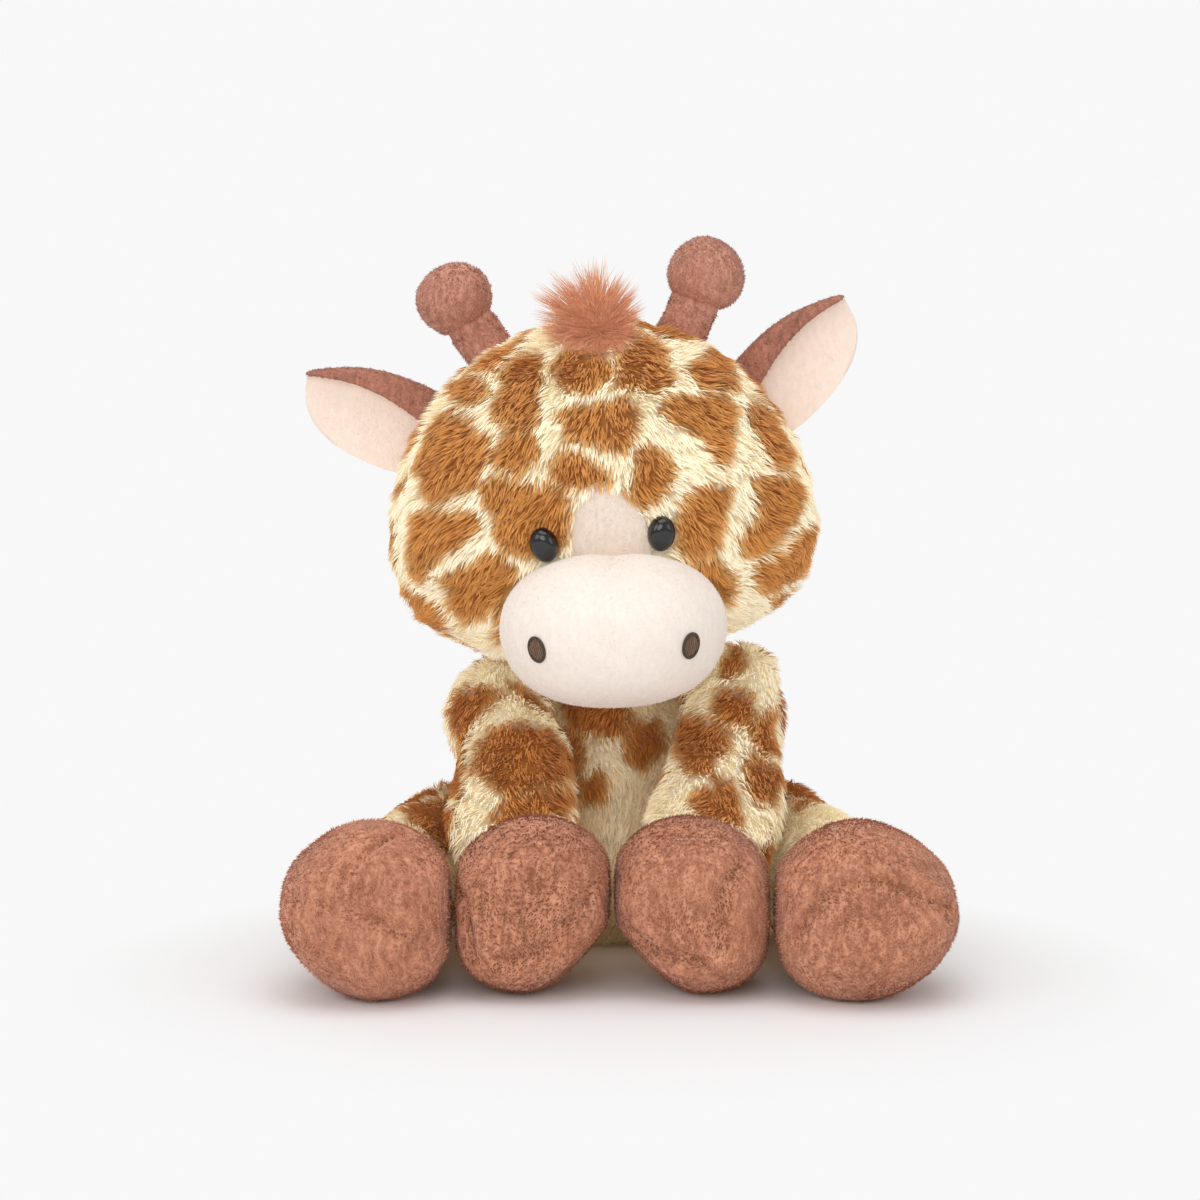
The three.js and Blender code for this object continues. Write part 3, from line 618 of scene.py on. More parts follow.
def plush_finish(base, deep, grain, glow=0.0):
    """Short plush: pale strokes over a darker ground"""

    def make(made):
        place = made.place()
        warp = made.noise(90, 2, place)[1]
        bent = {0: warp, 1: (0.006, 0.006, 0.006), 2: place}
        bent = made.node("ShaderNodeVectorMath", {"operation": "MULTIPLY_ADD"}, bent)[0]
        stretched = made.node("ShaderNodeMapping", None, {"Vector": bent, "Scale": (1.0, 1.0, 0.35)})[0]
        strokes = made.noise(grain, 3, stretched)[0]
        fine = made.noise(grain * 2.5, 2, bent)[0]
        broad = made.noise(55, 2, place)[0]
        amount = made.ramp(strokes * 0.6 + fine * 0.25 + broad * 0.25, ((0.38, 0.0), (0.68, 1.0)))
        made.set(Base_Color=made.mix(amount, linear(deep), linear(base)))
        # Painted glow: the plush gives off its own colour as light when glow is set
        made.set(Emission_Color=linear(base), Emission_Strength=glow)
        made.set(Roughness=0.78 + 0.15 * fine)
        made.set(Normal=made.bump(strokes * 0.7 + fine * 0.3, 0.5 * MM, 0.6))
        return made.set(Specular_IOR_Level=0.15, Sheen_Weight=0.3, Sheen_Roughness=0.4)

    return make


def gloss_finish(made):
    """Moulded black eyes with fine polishing marks"""
    marks = made.noise(1500, 2)[0]
    made.set(Base_Color=made.mix(marks, linear(sizes("colours").gloss), (0.006, 0.006, 0.008)))
    made.set(Roughness=0.1 + 0.05 * marks)
    return made.set(Specular_IOR_Level=0.55, Coat_Weight=0.3, Coat_Roughness=0.04)


def thread_finish(tone):
    """Embroidery thread: twisted, silky"""

    def make(made):
        place = made.place()
        bands = {"wave_type": "BANDS", "bands_direction": "DIAGONAL"}
        twist = {"Vector": place, "Scale": 900.0, "Distortion": 2.0}
        twist = made.node("ShaderNodeTexWave", bands, twist)[0]
        grain = made.noise(500, 2, place)[0]
        shade = linear(getattr(sizes("colours"), tone))
        made.set(Base_Color=made.mix(twist * 0.5 + grain * 0.5, shade * 0.45, shade * 1.35))
        made.set(Roughness=0.5 + 0.2 * grain)
        return made.set(Normal=made.bump(twist, 0.1 * MM, 0.5), Sheen_Weight=0.3)

    return make


def wadding_finish(made):
    """Polyester wadding: soft white fibres"""
    fibres = made.noise(700, 5)[0]
    made.set(Base_Color=made.ramp(fibres, ((0.3, (0.80, 0.79, 0.76)), (0.7, (0.97, 0.96, 0.94)))))
    made.set(Roughness=0.85 + 0.1 * fibres)
    return made.set(Normal=made.bump(fibres, 1.0 * MM, 0.8), Sheen_Weight=0.4)


def sack_finish(made):
    """Woven inner bag with pellets showing through it"""
    place = made.place()
    weave = made.node("ShaderNodeTexChecker", None, {"Vector": place, "Scale": 1200.0})[1]
    pellets = made.node("ShaderNodeTexVoronoi", None, {"Vector": place, "Scale": 330.0})[0]
    made.set(Base_Color=made.mix(weave, (0.62, 0.60, 0.53), (0.74, 0.72, 0.66)))
    made.set(Roughness=0.8 + 0.1 * weave)
    return made.set(Normal=made.bump(weave * 0.1 - pellets, 0.8 * MM, 0.7))


def washer_finish(made):
    """Moulded washers, slightly grainy"""
    grain = made.noise(2500, 2)[0]
    made.set(Base_Color=made.ramp(grain, ((0.3, (0.84, 0.84, 0.82)), (0.7, (0.92, 0.92, 0.90)))))
    return made.set(Roughness=0.35 + 0.15 * grain, Normal=made.bump(grain, 0.05 * MM, 0.3))


# Pile: roots over a skin, then one tapering tuft on each


class Roots:
    """Places on a skin, with the way out and the way along of the pile at each"""

    def __init__(self, points, normals, along=None):
        self.points = points
        self.normals = normals
        self.along = along

    def __len__(self):
        return len(self.points)

    def only(self, keep):
        along = self.along[keep] if self.along is not None else None
        return Roots(self.points[keep], self.normals[keep], along)

    def comb(self, ways, stray, rng):
        """Lays the pile the given ways, along the skin, with some astray"""
        ways = ways + rng.normal(size=ways.shape) * stray
        ways -= (ways * self.normals).sum(1)[:, None] * self.normals
        self.along = ways / np.maximum(far(ways), 1e-9)[:, None]
        return self


def sow(skin, density, rng):
    """Random roots over a skin; density is in tufts on a square millimetre"""
    mesh = skin.data
    mesh.calc_loop_triangles()
    tris = np.empty(len(mesh.loop_triangles) * 3, np.int64)
    mesh.loop_triangles.foreach_get("vertices", tris)
    tris = tris.reshape(-1, 3)
    places = corners(skin)[tris]
    normals = outward(skin)[tris]
    areas = np.linalg.norm(np.cross(places[:, 1] - places[:, 0], places[:, 2] - places[:, 0]), axis=1) / 2
    count = int(areas.sum() / MM ** 2 * density)
    chosen = rng.choice(len(tris), count, p=areas / areas.sum())
    share = rng.random((count, 2))
    over = share.sum(1) > 1
    share[over] = 1 - share[over]
    weights = np.column_stack([1 - share.sum(1), share])[:, :, None]
    points = (places[chosen] * weights).sum(1)
    ways = (normals[chosen] * weights).sum(1)
    return Roots(points, ways / far(ways)[:, None])


def gather(tips, points, spacing, rng):
    """Each tuft leans to the tip of the nearest leader of a clump"""
    count = min(len(points), max(8, int(len(points) * spacing)))
    leaders = rng.choice(len(points), count, replace=False)
    tree = KDTree(count)
    for i, leader in enumerate(leaders):
        tree.insert(points[leader], i)
    tree.balance()
    nearest = np.array([leaders[tree.find(point)[1]] for point in points])
    return tips[nearest] - tips, points[nearest] - points


def tufts(name, roots, lengths, width, lift, dyes_and_shade, rng, clump, leaders, rings=1, curl=0, sink=0.8, roll=1):
    """One mesh of tapering tufts. lift is the angle from the skin at the root and at the tip."""
    count = len(roots)
    steps = rings + 1
    across = np.cross(roots.along, roots.normals)
    place = roots.points - roots.normals * sink * MM
    path, ways = [place], []
    for step in range(steps):
        share = step / max(1, steps - 1)
        angle = (lift[0] + (lift[1] - lift[0]) * share)[:, None]
        way = np.cos(angle) * roots.along + np.sin(angle) * roots.normals
        if curl:
            way = way + across * (rng.normal(size=count) * curl * (share + 0.3))[:, None]
        place = place + way * (lengths / steps)[:, None]
        path.append(place)
        ways.append(way)
    pull, apart = gather(path[-1], roots.points, leaders, rng)
    own = (clump * rng.uniform(0.6, 1.15, count))[:, None]
    for step in range(1, steps + 1):
        path[step] = path[step] + (pull - apart * 0.25) * own * (step / steps) ** 1.5
    thick = width * rng.uniform(0.7, 1.25, count) / 2
    roll = rng.normal(size=count)[:, None] * sizes("pile").roll * roll
    points = np.empty((count, 3 * steps + 1, 3))
    shades = np.ones((count, 3 * steps + 1, 3))
    base, end = dyes_and_shade
    for ring in range(steps):
        share = ring / steps
        above = np.cross(across, ways[ring])
        level = np.cos(roll) * across + np.sin(roll) * above
        under = np.sin(roll) * across - np.cos(roll) * above
        half = (thick * (1 - 0.45 * share ** 2))[:, None]
        for side, offset in enumerate((-level, under * 0.6, level)):
            points[:, 3 * ring + side] = path[ring] + offset * half
            shades[:, 3 * ring + side] = base + (end - base) * share
    points[:, -1] = path[-1]
    points[:, :, 2] = np.maximum(points[:, :, 2], 0.2 * MM)
    shades[:, -1] = end
    faces = [(2, 1, 0)]
    for ring in range(steps - 1):
        low = 3 * ring
        for side in range(3):
            after = (side + 1) % 3
            faces.append((low + side, low + after, low + 3 + after))
            faces.append((low + side, low + 3 + after, low + 3 + side))
    low = 3 * (steps - 1)
    faces += [(low + side, low + (side + 1) % 3, 3 * steps) for side in range(3)]
    return mesh_of(name, points, np.array(faces), shades)


def dye_and_shade_points(mesh, shades):
    """Keeps a colour for each corner, painted shade included, as the attribute that the finishes read"""
    full = np.ones((len(shades), 4), np.float32)
    full[:, :3] = shades
    mesh.attributes.new("dye", "FLOAT_COLOR", "POINT").data.foreach_set("color", full.ravel())


def mesh_of(name, points, faces, shades):
    """A mesh of like tufts: points by tuft, one list of faces for all"""
    count, each = points.shape[:2]
    mesh = bpy.data.meshes.new(name)
    mesh.vertices.add(count * each)
    mesh.vertices.foreach_set("co", points.ravel())
    index = (faces[None] + (np.arange(count) * each)[:, None, None]).reshape(-1, 3)
    mesh.loops.add(index.size)
    mesh.loops.foreach_set("vertex_index", index.ravel().astype(np.int32))
    mesh.polygons.add(len(index))
    mesh.polygons.foreach_set("loop_start", np.arange(0, index.size, 3, dtype=np.int32))
    mesh.polygons.foreach_set("use_smooth", np.full(len(index), False))
    mesh.update(calc_edges=True)
    dye_and_shade_points(mesh, shades.reshape(-1, 3))
    flat = points.reshape(-1, 3)
    centre = flat.mean(0)
    rooted = np.repeat(points[:, :1], each, axis=1).reshape(-1, 3) - centre
    way = flat - centre
    angle = np.arctan2(rooted[:, 0], -rooted[:, 1])
    swing = np.arctan2(way[:, 0], -way[:, 1]) - angle
    swing = (swing + math.pi) % (2 * math.pi) - math.pi
    across = unit((angle + swing) / (2 * math.pi) + 0.5)
    height = way[:, 2] / np.maximum(far(way), 1e-9)
    unwrap = np.column_stack([across, 0.5 + height / 2])[index.ravel()]
    mesh.uv_layers.new(name="OFBake").data.foreach_set("uv", unwrap.ravel().astype(np.float32))
    return linked(name, mesh)


def blended(first, second, amount):
    amount = np.asarray(amount)[:, None]
    return first * (1 - amount) + second * amount


# Outlines of dark patches, read from the front, in pixels of the photograph

HEAD_PATCHES = (
    ((441, 415), (475, 427), (489, 444), (487, 462), (479, 489), (436, 506), (424, 494), (418, 468),
     (430, 438)),
    ((508, 434), (536, 438), (542, 447), (536, 462), (519, 476), (499, 471), (491, 463)),
    ((547, 471), (564, 455), (579, 458), (609, 476), (609, 486), (584, 491), (559, 493), (549, 481)),
    ((479, 488), (496, 481), (542, 485), (561, 501), (569, 520), (569, 540), (556, 550), (526, 556),
     (509, 553), (498, 540), (498, 518), (483, 506)),
    ((413, 533), (415, 516), (435, 511), (473, 515), (481, 530), (458, 551), (435, 563), (425, 583),
     (413, 571), (411, 548)),
    ((441, 579), (473, 568), (488, 554), (504, 559), (513, 573), (511, 588), (499, 601), (483, 614),
     (465, 621), (453, 609), (450, 589)),
    ((397, 589), (413, 588), (435, 601), (446, 611), (458, 637), (455, 646), (430, 632), (410, 622),
     (400, 609)),
    ((386, 512), (397, 520), (399, 545), (396, 585), (388, 575), (384, 550)),
    ((410, 480), (398, 495), (398, 503), (408, 490)),
    ((496, 606), (504, 600), (500, 636), (496, 640)),
    ((636, 457), (650, 450), (670, 458), (675, 468), (670, 485), (658, 503), (645, 510), (633, 501),
     (620, 500), (633, 490), (636, 473)),
    ((683, 506), (698, 488), (729, 490), (724, 511), (719, 533), (716, 554), (693, 561), (676, 556),
     (678, 523)),
    ((754, 483), (791, 480), (801, 498), (797, 518), (779, 538), (759, 554), (743, 554), (741, 540),
     (756, 523), (759, 503)),
    ((796, 533), (811, 529), (807, 566), (789, 579), (766, 591), (752, 584), (756, 566), (776, 553)),
    ((686, 564), (719, 561), (733, 571), (733, 594), (726, 606), (716, 592), (699, 578)),
    ((772, 594), (789, 586), (804, 588), (796, 602), (772, 616), (748, 626), (762, 611)),
    ((746, 410), (761, 408), (774, 425), (790, 456), (787, 471), (774, 473), (757, 443), (751, 425)),
    ((794, 458), (809, 469), (803, 479)),
    ((664, 408), (679, 400), (722, 397), (735, 408), (733, 445), (727, 471), (714, 462), (703, 443),
     (683, 430), (666, 421)),
    ((690, 376), (711, 352), (731, 354), (735, 365), (731, 373), (738, 395), (722, 393), (703, 391)),
    ((618, 373), (621, 356), (640, 339), (660, 345), (673, 371), (670, 389), (660, 395), (618, 391)),
    ((556, 373), (560, 356), (610, 360), (608, 384), (588, 397), (571, 395), (558, 386)),
    ((556, 415), (597, 406), (629, 402), (638, 417), (631, 449), (623, 456), (588, 449), (566, 443),
     (564, 425)),
    ((497, 408), (504, 376), (517, 360), (536, 356), (543, 371), (540, 395), (536, 423), (530, 432),
     (506, 434), (495, 421)),
    ((447, 391), (467, 380), (484, 389), (486, 402), (462, 410), (454, 399)),
    ((470, 376), (500, 352), (524, 340), (520, 350), (490, 378)),
    ((519, 331), (535, 330), (528, 338)),
)
LIMB_PATCHES = {
    ("arm", -1): (
        ((493, 733), (519, 726), (547, 733), (560, 750), (571, 776), (564, 785), (536, 791), (514, 800),
         (499, 791), (475, 770), (484, 750)),
        ((456, 700), (484, 691), (495, 696), (484, 711), (467, 746), (445, 757), (443, 741), (451, 713)),
        ((495, 819), (514, 802), (545, 793), (569, 802), (582, 813), (560, 818), (532, 822), (506, 830)),
        ((456, 759), (465, 763), (460, 802), (454, 789)),
        ((510, 685), (553, 702), (551, 720), (520, 700)),
    ),
    ("arm", 1): (
        ((668, 741), (679, 725), (707, 724), (727, 734), (723, 749), (711, 774), (693, 775), (679, 759)),
        ((691, 805), (714, 784), (732, 786), (739, 806), (736, 826), (723, 826), (705, 820)),
        ((752, 757), (764, 770), (779, 781), (775, 791), (771, 806), (757, 802), (743, 777)),
        ((752, 724), (775, 713), (789, 720), (796, 745), (786, 756), (764, 756), (754, 745)),
        ((711, 715), (721, 697), (746, 693), (750, 720), (739, 727), (725, 724)),
        ((732, 650), (746, 666), (725, 680)),
    ),
    ("leg", -1): (
        ((405, 812), (432, 792), (450, 800), (452, 850), (436, 848), (410, 826)),
    ),
    ("leg", 1): (
        ((795, 777), (805, 781), (816, 799), (802, 812)),
    ),
}
CHEST_PATCHES = (
    ((562, 700), (625, 700), (625, 735), (610, 739), (575, 731)),
    ((627, 724), (655, 724), (662, 741), (644, 770), (629, 759)),
    ((558, 731), (582, 741), (582, 759), (575, 772), (556, 760)),
    ((579, 780), (603, 780), (599, 800), (588, 809)),
)


def camera_place():
    studio = sizes("studio")
    level = Vector((0, math.cos(studio.elevation), -math.sin(studio.elevation)))
    return Vector((studio.aim_x, studio.aim_y, studio.aim_z)) - level * studio.distance


def pixel_ray(pixel):
    """The way from the camera through a pixel of the photograph"""
    studio = sizes("studio")
    focal = studio.image * studio.lens / studio.sensor
    x = (pixel[0] - studio.image / 2) / focal
    y = (studio.image / 2 - pixel[1]) / focal
    tilt = studio.elevation
    way = Vector((x, math.cos(tilt) + y * math.sin(tilt), -math.sin(tilt) + y * math.cos(tilt)))
    return way.normalized()


class Surface:
    """A skin to aim at with rays"""

    def __init__(self, obj):
        self.tree = BVHTree.FromPolygons(
            [tuple(point) for point in corners(obj)], [tuple(face.vertices) for face in obj.data.polygons]
        )
        self.middle = Vector(corners(obj).mean(0))

    def under(self, pixel):
        """Where the camera sees the skin behind a pixel, or the nearest place on it"""
        start, way = camera_place(), pixel_ray(pixel)
        place, normal, _, _ = self.tree.ray_cast(start, way)
        if place is None:
            near = start + way * (self.middle - start).dot(way)
            place, normal, _, _ = self.tree.find_nearest(near)
        return place, normal


class Patches:
    """Dark patches on one form: outlines seen from the front, and rounded cells out of sight"""

    def __init__(self, skin, outlines, seed, spacing=0.0235, hidden=0.12, dye="body_patch"):
        surface = Surface(skin)
        self.outlines = []
        self.seed = seed
        self.dye = linear(getattr(sizes("colours"), dye))
        self.grow = (1.2 if dye == "patch" else 1.9) * MM
        for outline in outlines:
            seen = [surface.under(pixel) for pixel in outline]
            places = np.array([place for place, _ in seen])
            normal = np.array([way for _, way in seen]).mean(0)
            self.outlines.append((places, normal / np.linalg.norm(normal)))
        self.sites = self.scatter(skin, spacing, hidden)
        middles = [places.mean(0) for places, _ in self.outlines]
        self.all_sites = np.array(list(self.sites) + middles).reshape(-1, 3)

    def scatter(self, skin, spacing, hidden):
        """Middles of the cells out of sight"""
        rng = default_rng(self.seed)
        points, normals = corners(skin), outward(skin)
        view = points - np.array(camera_place())
        view /= far(view)[:, None]
        unseen = np.flatnonzero(-(view * normals).sum(1) < hidden)
        taken = [place for places, _ in self.outlines for place in places]
        taken_gap = [spacing * 0.5] * len(taken)
        sites = []
        for i in rng.permutation(unseen):
            gaps = np.array(taken_gap)
            if taken and (far(np.array(taken), points[i]) < gaps).any():
                continue
            sites.append(points[i])
            taken.append(points[i])
            taken_gap.append(spacing * rng.uniform(0.85, 1.1))
        return np.array(sites).reshape(-1, 3)

    def depth(self, points, normals):
        """How far each place lies inside the nearest patch; negative outside"""
        wander = drift(points, 0.011, self.seed + 1) * 0.0006
        points = points + wander
        best = np.full(len(points), -1.0)
        for places, normal in self.outlines:
            middle = places.mean(0)
            reach = far(places, middle).max() + 0.006
            near = far(points, middle) < reach
            near &= normals @ normal > 0.1
            index = np.flatnonzero(near)
            if not len(index):
                continue
            first = np.cross(normal, (0, 0, 1.0))
            first /= np.linalg.norm(first)
            second = np.cross(normal, first)
            flat = np.column_stack([(points[index] - middle) @ first, (points[index] - middle) @ second])
            outline = np.column_stack([(places - middle) @ first, (places - middle) @ second])
            best[index] = np.maximum(best[index], inside_depth(flat, outline) + self.grow)
        if len(self.sites):
            gaps = far(points[:, None], self.all_sites[None])
            order = np.argsort(gaps, axis=1)[:, :2]
            rows = np.arange(len(points))
            first, second = gaps[rows, order[:, 0]], gaps[rows, order[:, 1]]
            cell = np.minimum((second - first) / 2 - 0.0017, 0.0125 - first)
            cell[order[:, 0] >= len(self.sites)] = -1
            clear = best < -0.0025
            best = np.where(clear, np.maximum(best, cell), best)
        return best


def line_gap(points, line):
    """How far each point lies from a line through given places"""
    gap = np.full(len(points), np.inf)
    for start, end in zip(line[:-1], line[1:]):
        edge = end - start
        share = unit(((points - start) @ edge) / max(edge @ edge, 1e-12))
        gap = np.minimum(gap, far(points, start + share[:, None] * edge))
    return gap


def inside_depth(points, outline):
    """Signed distance to a closed outline: positive inside"""
    best = line_gap(points, np.vstack([outline, outline[:1]]))
    inside = np.zeros(len(points), bool)
    for start, end in zip(outline, np.roll(outline, -1, axis=0)):
        edge = end - start
        crosses = (start[1] > points[:, 1]) != (end[1] > points[:, 1])
        rise = edge[1] if abs(edge[1]) > 1e-12 else 1e-12
        left = points[:, 0] < start[0] + (points[:, 1] - start[1]) / rise * edge[0]
        inside ^= crosses & left
    return np.where(inside, best, -best)


def fur_dyes(patches, points, normals, rng):
    """Root and tip colours of the spotted fur at the given places"""
    colours = sizes("colours")
    depth = patches.depth(points, normals) + rng.normal(size=len(points)) * 0.0003
    dark = unit(depth / 0.0009 + 0.5)
    core = unit((depth - 0.0004) / 0.0026)
    tone = rng.random(len(points))
    broad = drift(points, 0.02, 91)[:, 0]
    tip = blended(linear(colours.rim), patches.dye, core)
    base = blended(linear(colours.rim) * 0.6, linear(colours.patch_root), core)
    tip = tip * (0.72 + 0.5 * tone + 0.06 * broad)[:, None]
    light = blended(linear(colours.cream), linear(colours.cream_root), np.clip(0.16 + 0.12 * broad, 0, 0.6))
    light = light * (0.86 + 0.2 * tone)[:, None]
    tip = blended(light, tip, dark)
    base = blended(linear(colours.cream_root) * (0.8 + 0.3 * tone)[:, None], base, dark)
    return unit(base), unit(tip)


MOST_TUFTS = 19000


def fur(skin, patches, keep, way, density, body, nodes, seed, panels=None, shorter=None, own=None):
    """Brushed fur over a skin, one piece or more for each panel"""
    pile = sizes("pile")
    rng = default_rng(seed)
    roots = sow(skin, density, rng)
    roots = roots.only(keep(roots.points, roots.normals))
    roots.comb(way(roots.points, roots.normals) + drift(roots.points, 0.024, seed + 1) * 0.22, 0.16, rng)
    lengths = pile.fur_length * rng.uniform(0.72, 1.12, len(roots))
    if shorter:
        lengths *= shorter(roots.points)
    ruffle = drift(roots.points, 0.017, seed + 2)
    lift = np.radians(52 + 8 * ruffle[:, 0]), np.radians(20 + 10 * ruffle[:, 1])
    ends = roots.points + roots.along * (lengths * 0.5)[:, None]
    dyes_and_shade = fur_dyes(patches, ends, roots.normals, rng)
    # Painted shade: the fur's colours are darkened in folds, beside other parts and low at the front
    if own:
        light = painted_fold_shade(ends, own)[:, None] ** WARMER
        dyes_and_shade = dyes_and_shade[0] * light, dyes_and_shade[1] * light
    groups = panels(roots.points) if panels else np.zeros(len(roots), int)
    for group in np.unique(groups):
        members = np.flatnonzero(groups == group)
        shares = max(1, math.ceil(len(members) / MOST_TUFTS))
        order = members[np.argsort(roots.points[members, 1])]
        for share, part in enumerate(np.array_split(order, shares)):
            label = f"{nodes[group]}_fur" + (f"_{share + 1}" if shares > 1 else "")
            lifts, shades = [one[part] for one in lift], [one[part] for one in dyes_and_shade]
            piece = tufts(label, roots.only(part), lengths[part], pile.fur_width, lifts, shades, rng,
                          pile.fur_lean, 0.07, curl=0.12)
            finish("fur", fur_finish).on(piece)
            settle(piece, body, "spotted_fur")


def nap(name, skin, base, deep, body, slot, seed, keep=None, sway=0.5, scale=1.0, density=1.0, variety=0.3,
        rise=38, shade_and_seam=None, pale=False):
    """Short plush pile: little tufts that swirl and ripple over the skin"""
    pile = sizes("pile")
    rng = default_rng(seed)
    roots = sow(skin, pile.nap_density * density, rng)
    if keep is not None:
        roots = roots.only(keep(roots.points, roots.normals))
    ways = drift(roots.points, 0.030, seed + 1) * sway + np.array((0, -0.35, -0.8))
    roots.comb(ways, 0.22, rng)
    lengths = pile.nap_length * scale * rng.uniform(0.7, 1.2, len(roots))
    ruffle = drift(roots.points * (1, 1, 2), 0.0021, seed + 2)[:, 0]
    angle = np.radians(np.clip(rise * (1 + 0.35 * ruffle), 10, 75))
    tone = rng.random(len(roots))
    shade = 1 + variety * (tone - 0.6 + 0.25 * ruffle)[:, None]
    # Painted shade and highlights from the callers, and the darker seam line of the muzzle, multiply the
    # nap's colour
    if shade_and_seam:
        shade = shade * shade_and_seam(roots.points)[:, None] ** WARMER
    tip = unit(linear(base) * shade)
    low = unit(linear(deep) * shade)
    piece = tufts(name, roots, lengths, pile.nap_width * scale, (angle, angle), (low, tip), rng, 0.12, 0.3,
                  rings=0, sink=0.25 * scale, roll=0.4)
    # Painted glow: a pale nap takes a finish that glows a little, though it is no lamp
    if pale:
        finish("pale_pile", lambda made: pile_finish(made).set(Emission_Strength=0.15)).on(piece)
    else:
        finish("pile", pile_finish).on(piece)
    settle(piece, body, slot)


# Frames and outlines that the pieces share with the solids


def head_matrix():
    head = sizes("head")
    return Matrix.Translation((head.shift, -head.forward, head.rise)) @ Matrix.Rotation(head.roll, 4, "Y")


def muzzle_matrix():
    face = sizes("face")
    place = Matrix.Translation((face.muzzle_shift, -face.muzzle_forward, -face.muzzle_drop))
    return head_matrix() @ place @ Matrix.Rotation(face.muzzle_roll, 4, "Y")


def head_size(inset):
    head = sizes("head")
    return np.array((head.width, head.depth, head.height)) - 2 * inset


def muzzle_size(inset):
    face = sizes("face")
    return np.array((face.muzzle_width, face.muzzle_depth, face.muzzle_height)) - 2 * inset


def torso_size(inset):
    body = sizes("body")
    return np.array((body.width, body.depth, 2 * (body.top - body.middle))) - 2 * inset


def torso_matrix():
    return Matrix.Translation((0, 0, sizes("body").middle))


def pillow_gap(points, matrix, size, squareness, taper=0.0):
    """How far places lie from a pillow's surface, nearly; negative inside"""
    local = carry(points, matrix.inverted()) / (size / 2)
    local[:, 0] /= 1 - taper * np.clip(local[:, 2], -1, 1)
    return ((np.abs(local) ** squareness).sum(1) ** (1 / squareness) - 1) * size.min() / 2


def head_gap(points, inset=0.0):
    head = sizes("head")
    return pillow_gap(points, head_matrix(), head_size(inset), head.squareness, head.taper)


def muzzle_gap(points, inset=0.0):
    return pillow_gap(points, muzzle_matrix(), muzzle_size(inset), sizes("face").muzzle_squareness)


def torso_gap(points, inset=0.0):
    return pillow_gap(points, torso_matrix(), torso_size(inset), sizes("body").squareness)


def in_head(points, inset=0.0):
    return head_gap(points, inset) < 0


def in_muzzle(points, inset=0.0):
    return muzzle_gap(points, inset) < 0


def in_torso(points, inset=0.0):
    return torso_gap(points, inset) < 0


def face_y(x, z, inset=0.0):
    """Front of the head, in its own frame, at places given by x and z"""
    size = head_size(inset)
    power = sizes("head").squareness
    wide = size[0] * (1 - sizes("head").taper * 2 * z / size[2])
    rest = 1 - np.abs(2 * x / wide) ** power - np.abs(2 * z / size[2]) ** power
    return -(size[1] / 2) * np.maximum(rest, 0) ** (1 / power)


def blaze_half(z):
    """Half the width of the blaze at heights in the head's frame"""
    face = sizes("face")
    share = unit((z + face.blaze_shoulder) / (face.blaze_rise + face.blaze_shoulder))
    return face.blaze_width / 2 * np.sqrt(1 - share ** 2)


def on_blaze(points):
    face = sizes("face")
    local = carry(points, head_matrix().inverted())
    near = (local[:, 1] < 0) & (local[:, 2] < face.blaze_rise) & (local[:, 2] > -face.muzzle_drop)
    return near & (np.abs(local[:, 0] - face.blaze_shift) < blaze_half(local[:, 2]) - 0.7 * MM)


def eye_frame(side):
    """Matrix of an eye, +Z out of the face"""
    face, head = sizes("face"), sizes("head")
    x, z = side * face.eye_spacing / 2, -face.eye_drop
    y = float(face_y(np.array(x), np.array(z))) + face.eye_sink
    power = head.squareness - 1
    wide = head.width * (1 - head.taper * 2 * z / head.height)
    out_x = abs(2 * x / wide)
    lean = head.taper * out_x ** head.squareness * head.width / wide
    out = Vector((
        side * out_x ** power / wide,
        -abs(2 * y / head.depth) ** power / head.depth,
        (lean - abs(2 * z / head.height) ** power) / head.height,
    )).normalized()
    twist = Vector((0, 0, 1)).rotation_difference(out).to_matrix().to_4x4()
    return head_matrix() @ Matrix.Translation((x, y, z)) @ twist


def ossicone_frame(side):
    crown = sizes("crown")
    root = Matrix.Translation((side * crown.ossicone_spacing / 2, crown.ossicone_back, crown.ossicone_rise))
    splay = Matrix.Rotation(side * crown.ossicone_splay, 4, "Y")
    return head_matrix() @ root @ Matrix.Rotation(-crown.ossicone_lean, 4, "X") @ splay


def ear_frame(side):
    """An ear: +X to its tip, +Z up, +Y to the back; mirrored for the right one"""
    crown = sizes("crown")
    lift = crown.ear_lift_right if side < 0 else crown.ear_lift_left
    twist = Matrix.Rotation(crown.ear_sweep, 4, "Z") @ Matrix.Rotation(-lift, 4, "Y")
    root = Matrix.Translation((side * crown.ear_spacing / 2, crown.ear_back, crown.ear_rise))
    return head_matrix() @ root @ Matrix.Diagonal((side, 1, 1, 1)) @ twist


def hoof_size(limb, side, inset=0.0):
    limbs = sizes("limbs")
    if limb == "arm":
        size = (limbs.front_width, limbs.front_depth, limbs.front_height)
    else:
        width = limbs.rear_width_right if side < 0 else limbs.rear_width_left
        size = (width, limbs.rear_depth, limbs.rear_height)
    return np.array(size) - 2 * inset


def hoof_middle(limb, side):
    limbs = sizes("limbs")
    x = limbs.front_shift + side * (limbs.front_width + limbs.hoof_gap) / 2
    if limb == "arm":
        return Vector((x, -limbs.front_forward, limbs.front_height / 2 - limbs.hoof_flat))
    x += side * (limbs.front_width / 2 + limbs.hoof_gap + hoof_size(limb, side)[0] / 2)
    return Vector((x, -limbs.rear_forward, limbs.rear_height / 2 - limbs.hoof_flat))


def limb_root(limb, side):
    limbs = sizes("limbs")
    if limb == "arm":
        return Vector((side * limbs.shoulder_spacing / 2, -limbs.shoulder_forward, limbs.shoulder_rise))
    return Vector((side * limbs.hip_spacing / 2, 0, limbs.hip_rise))


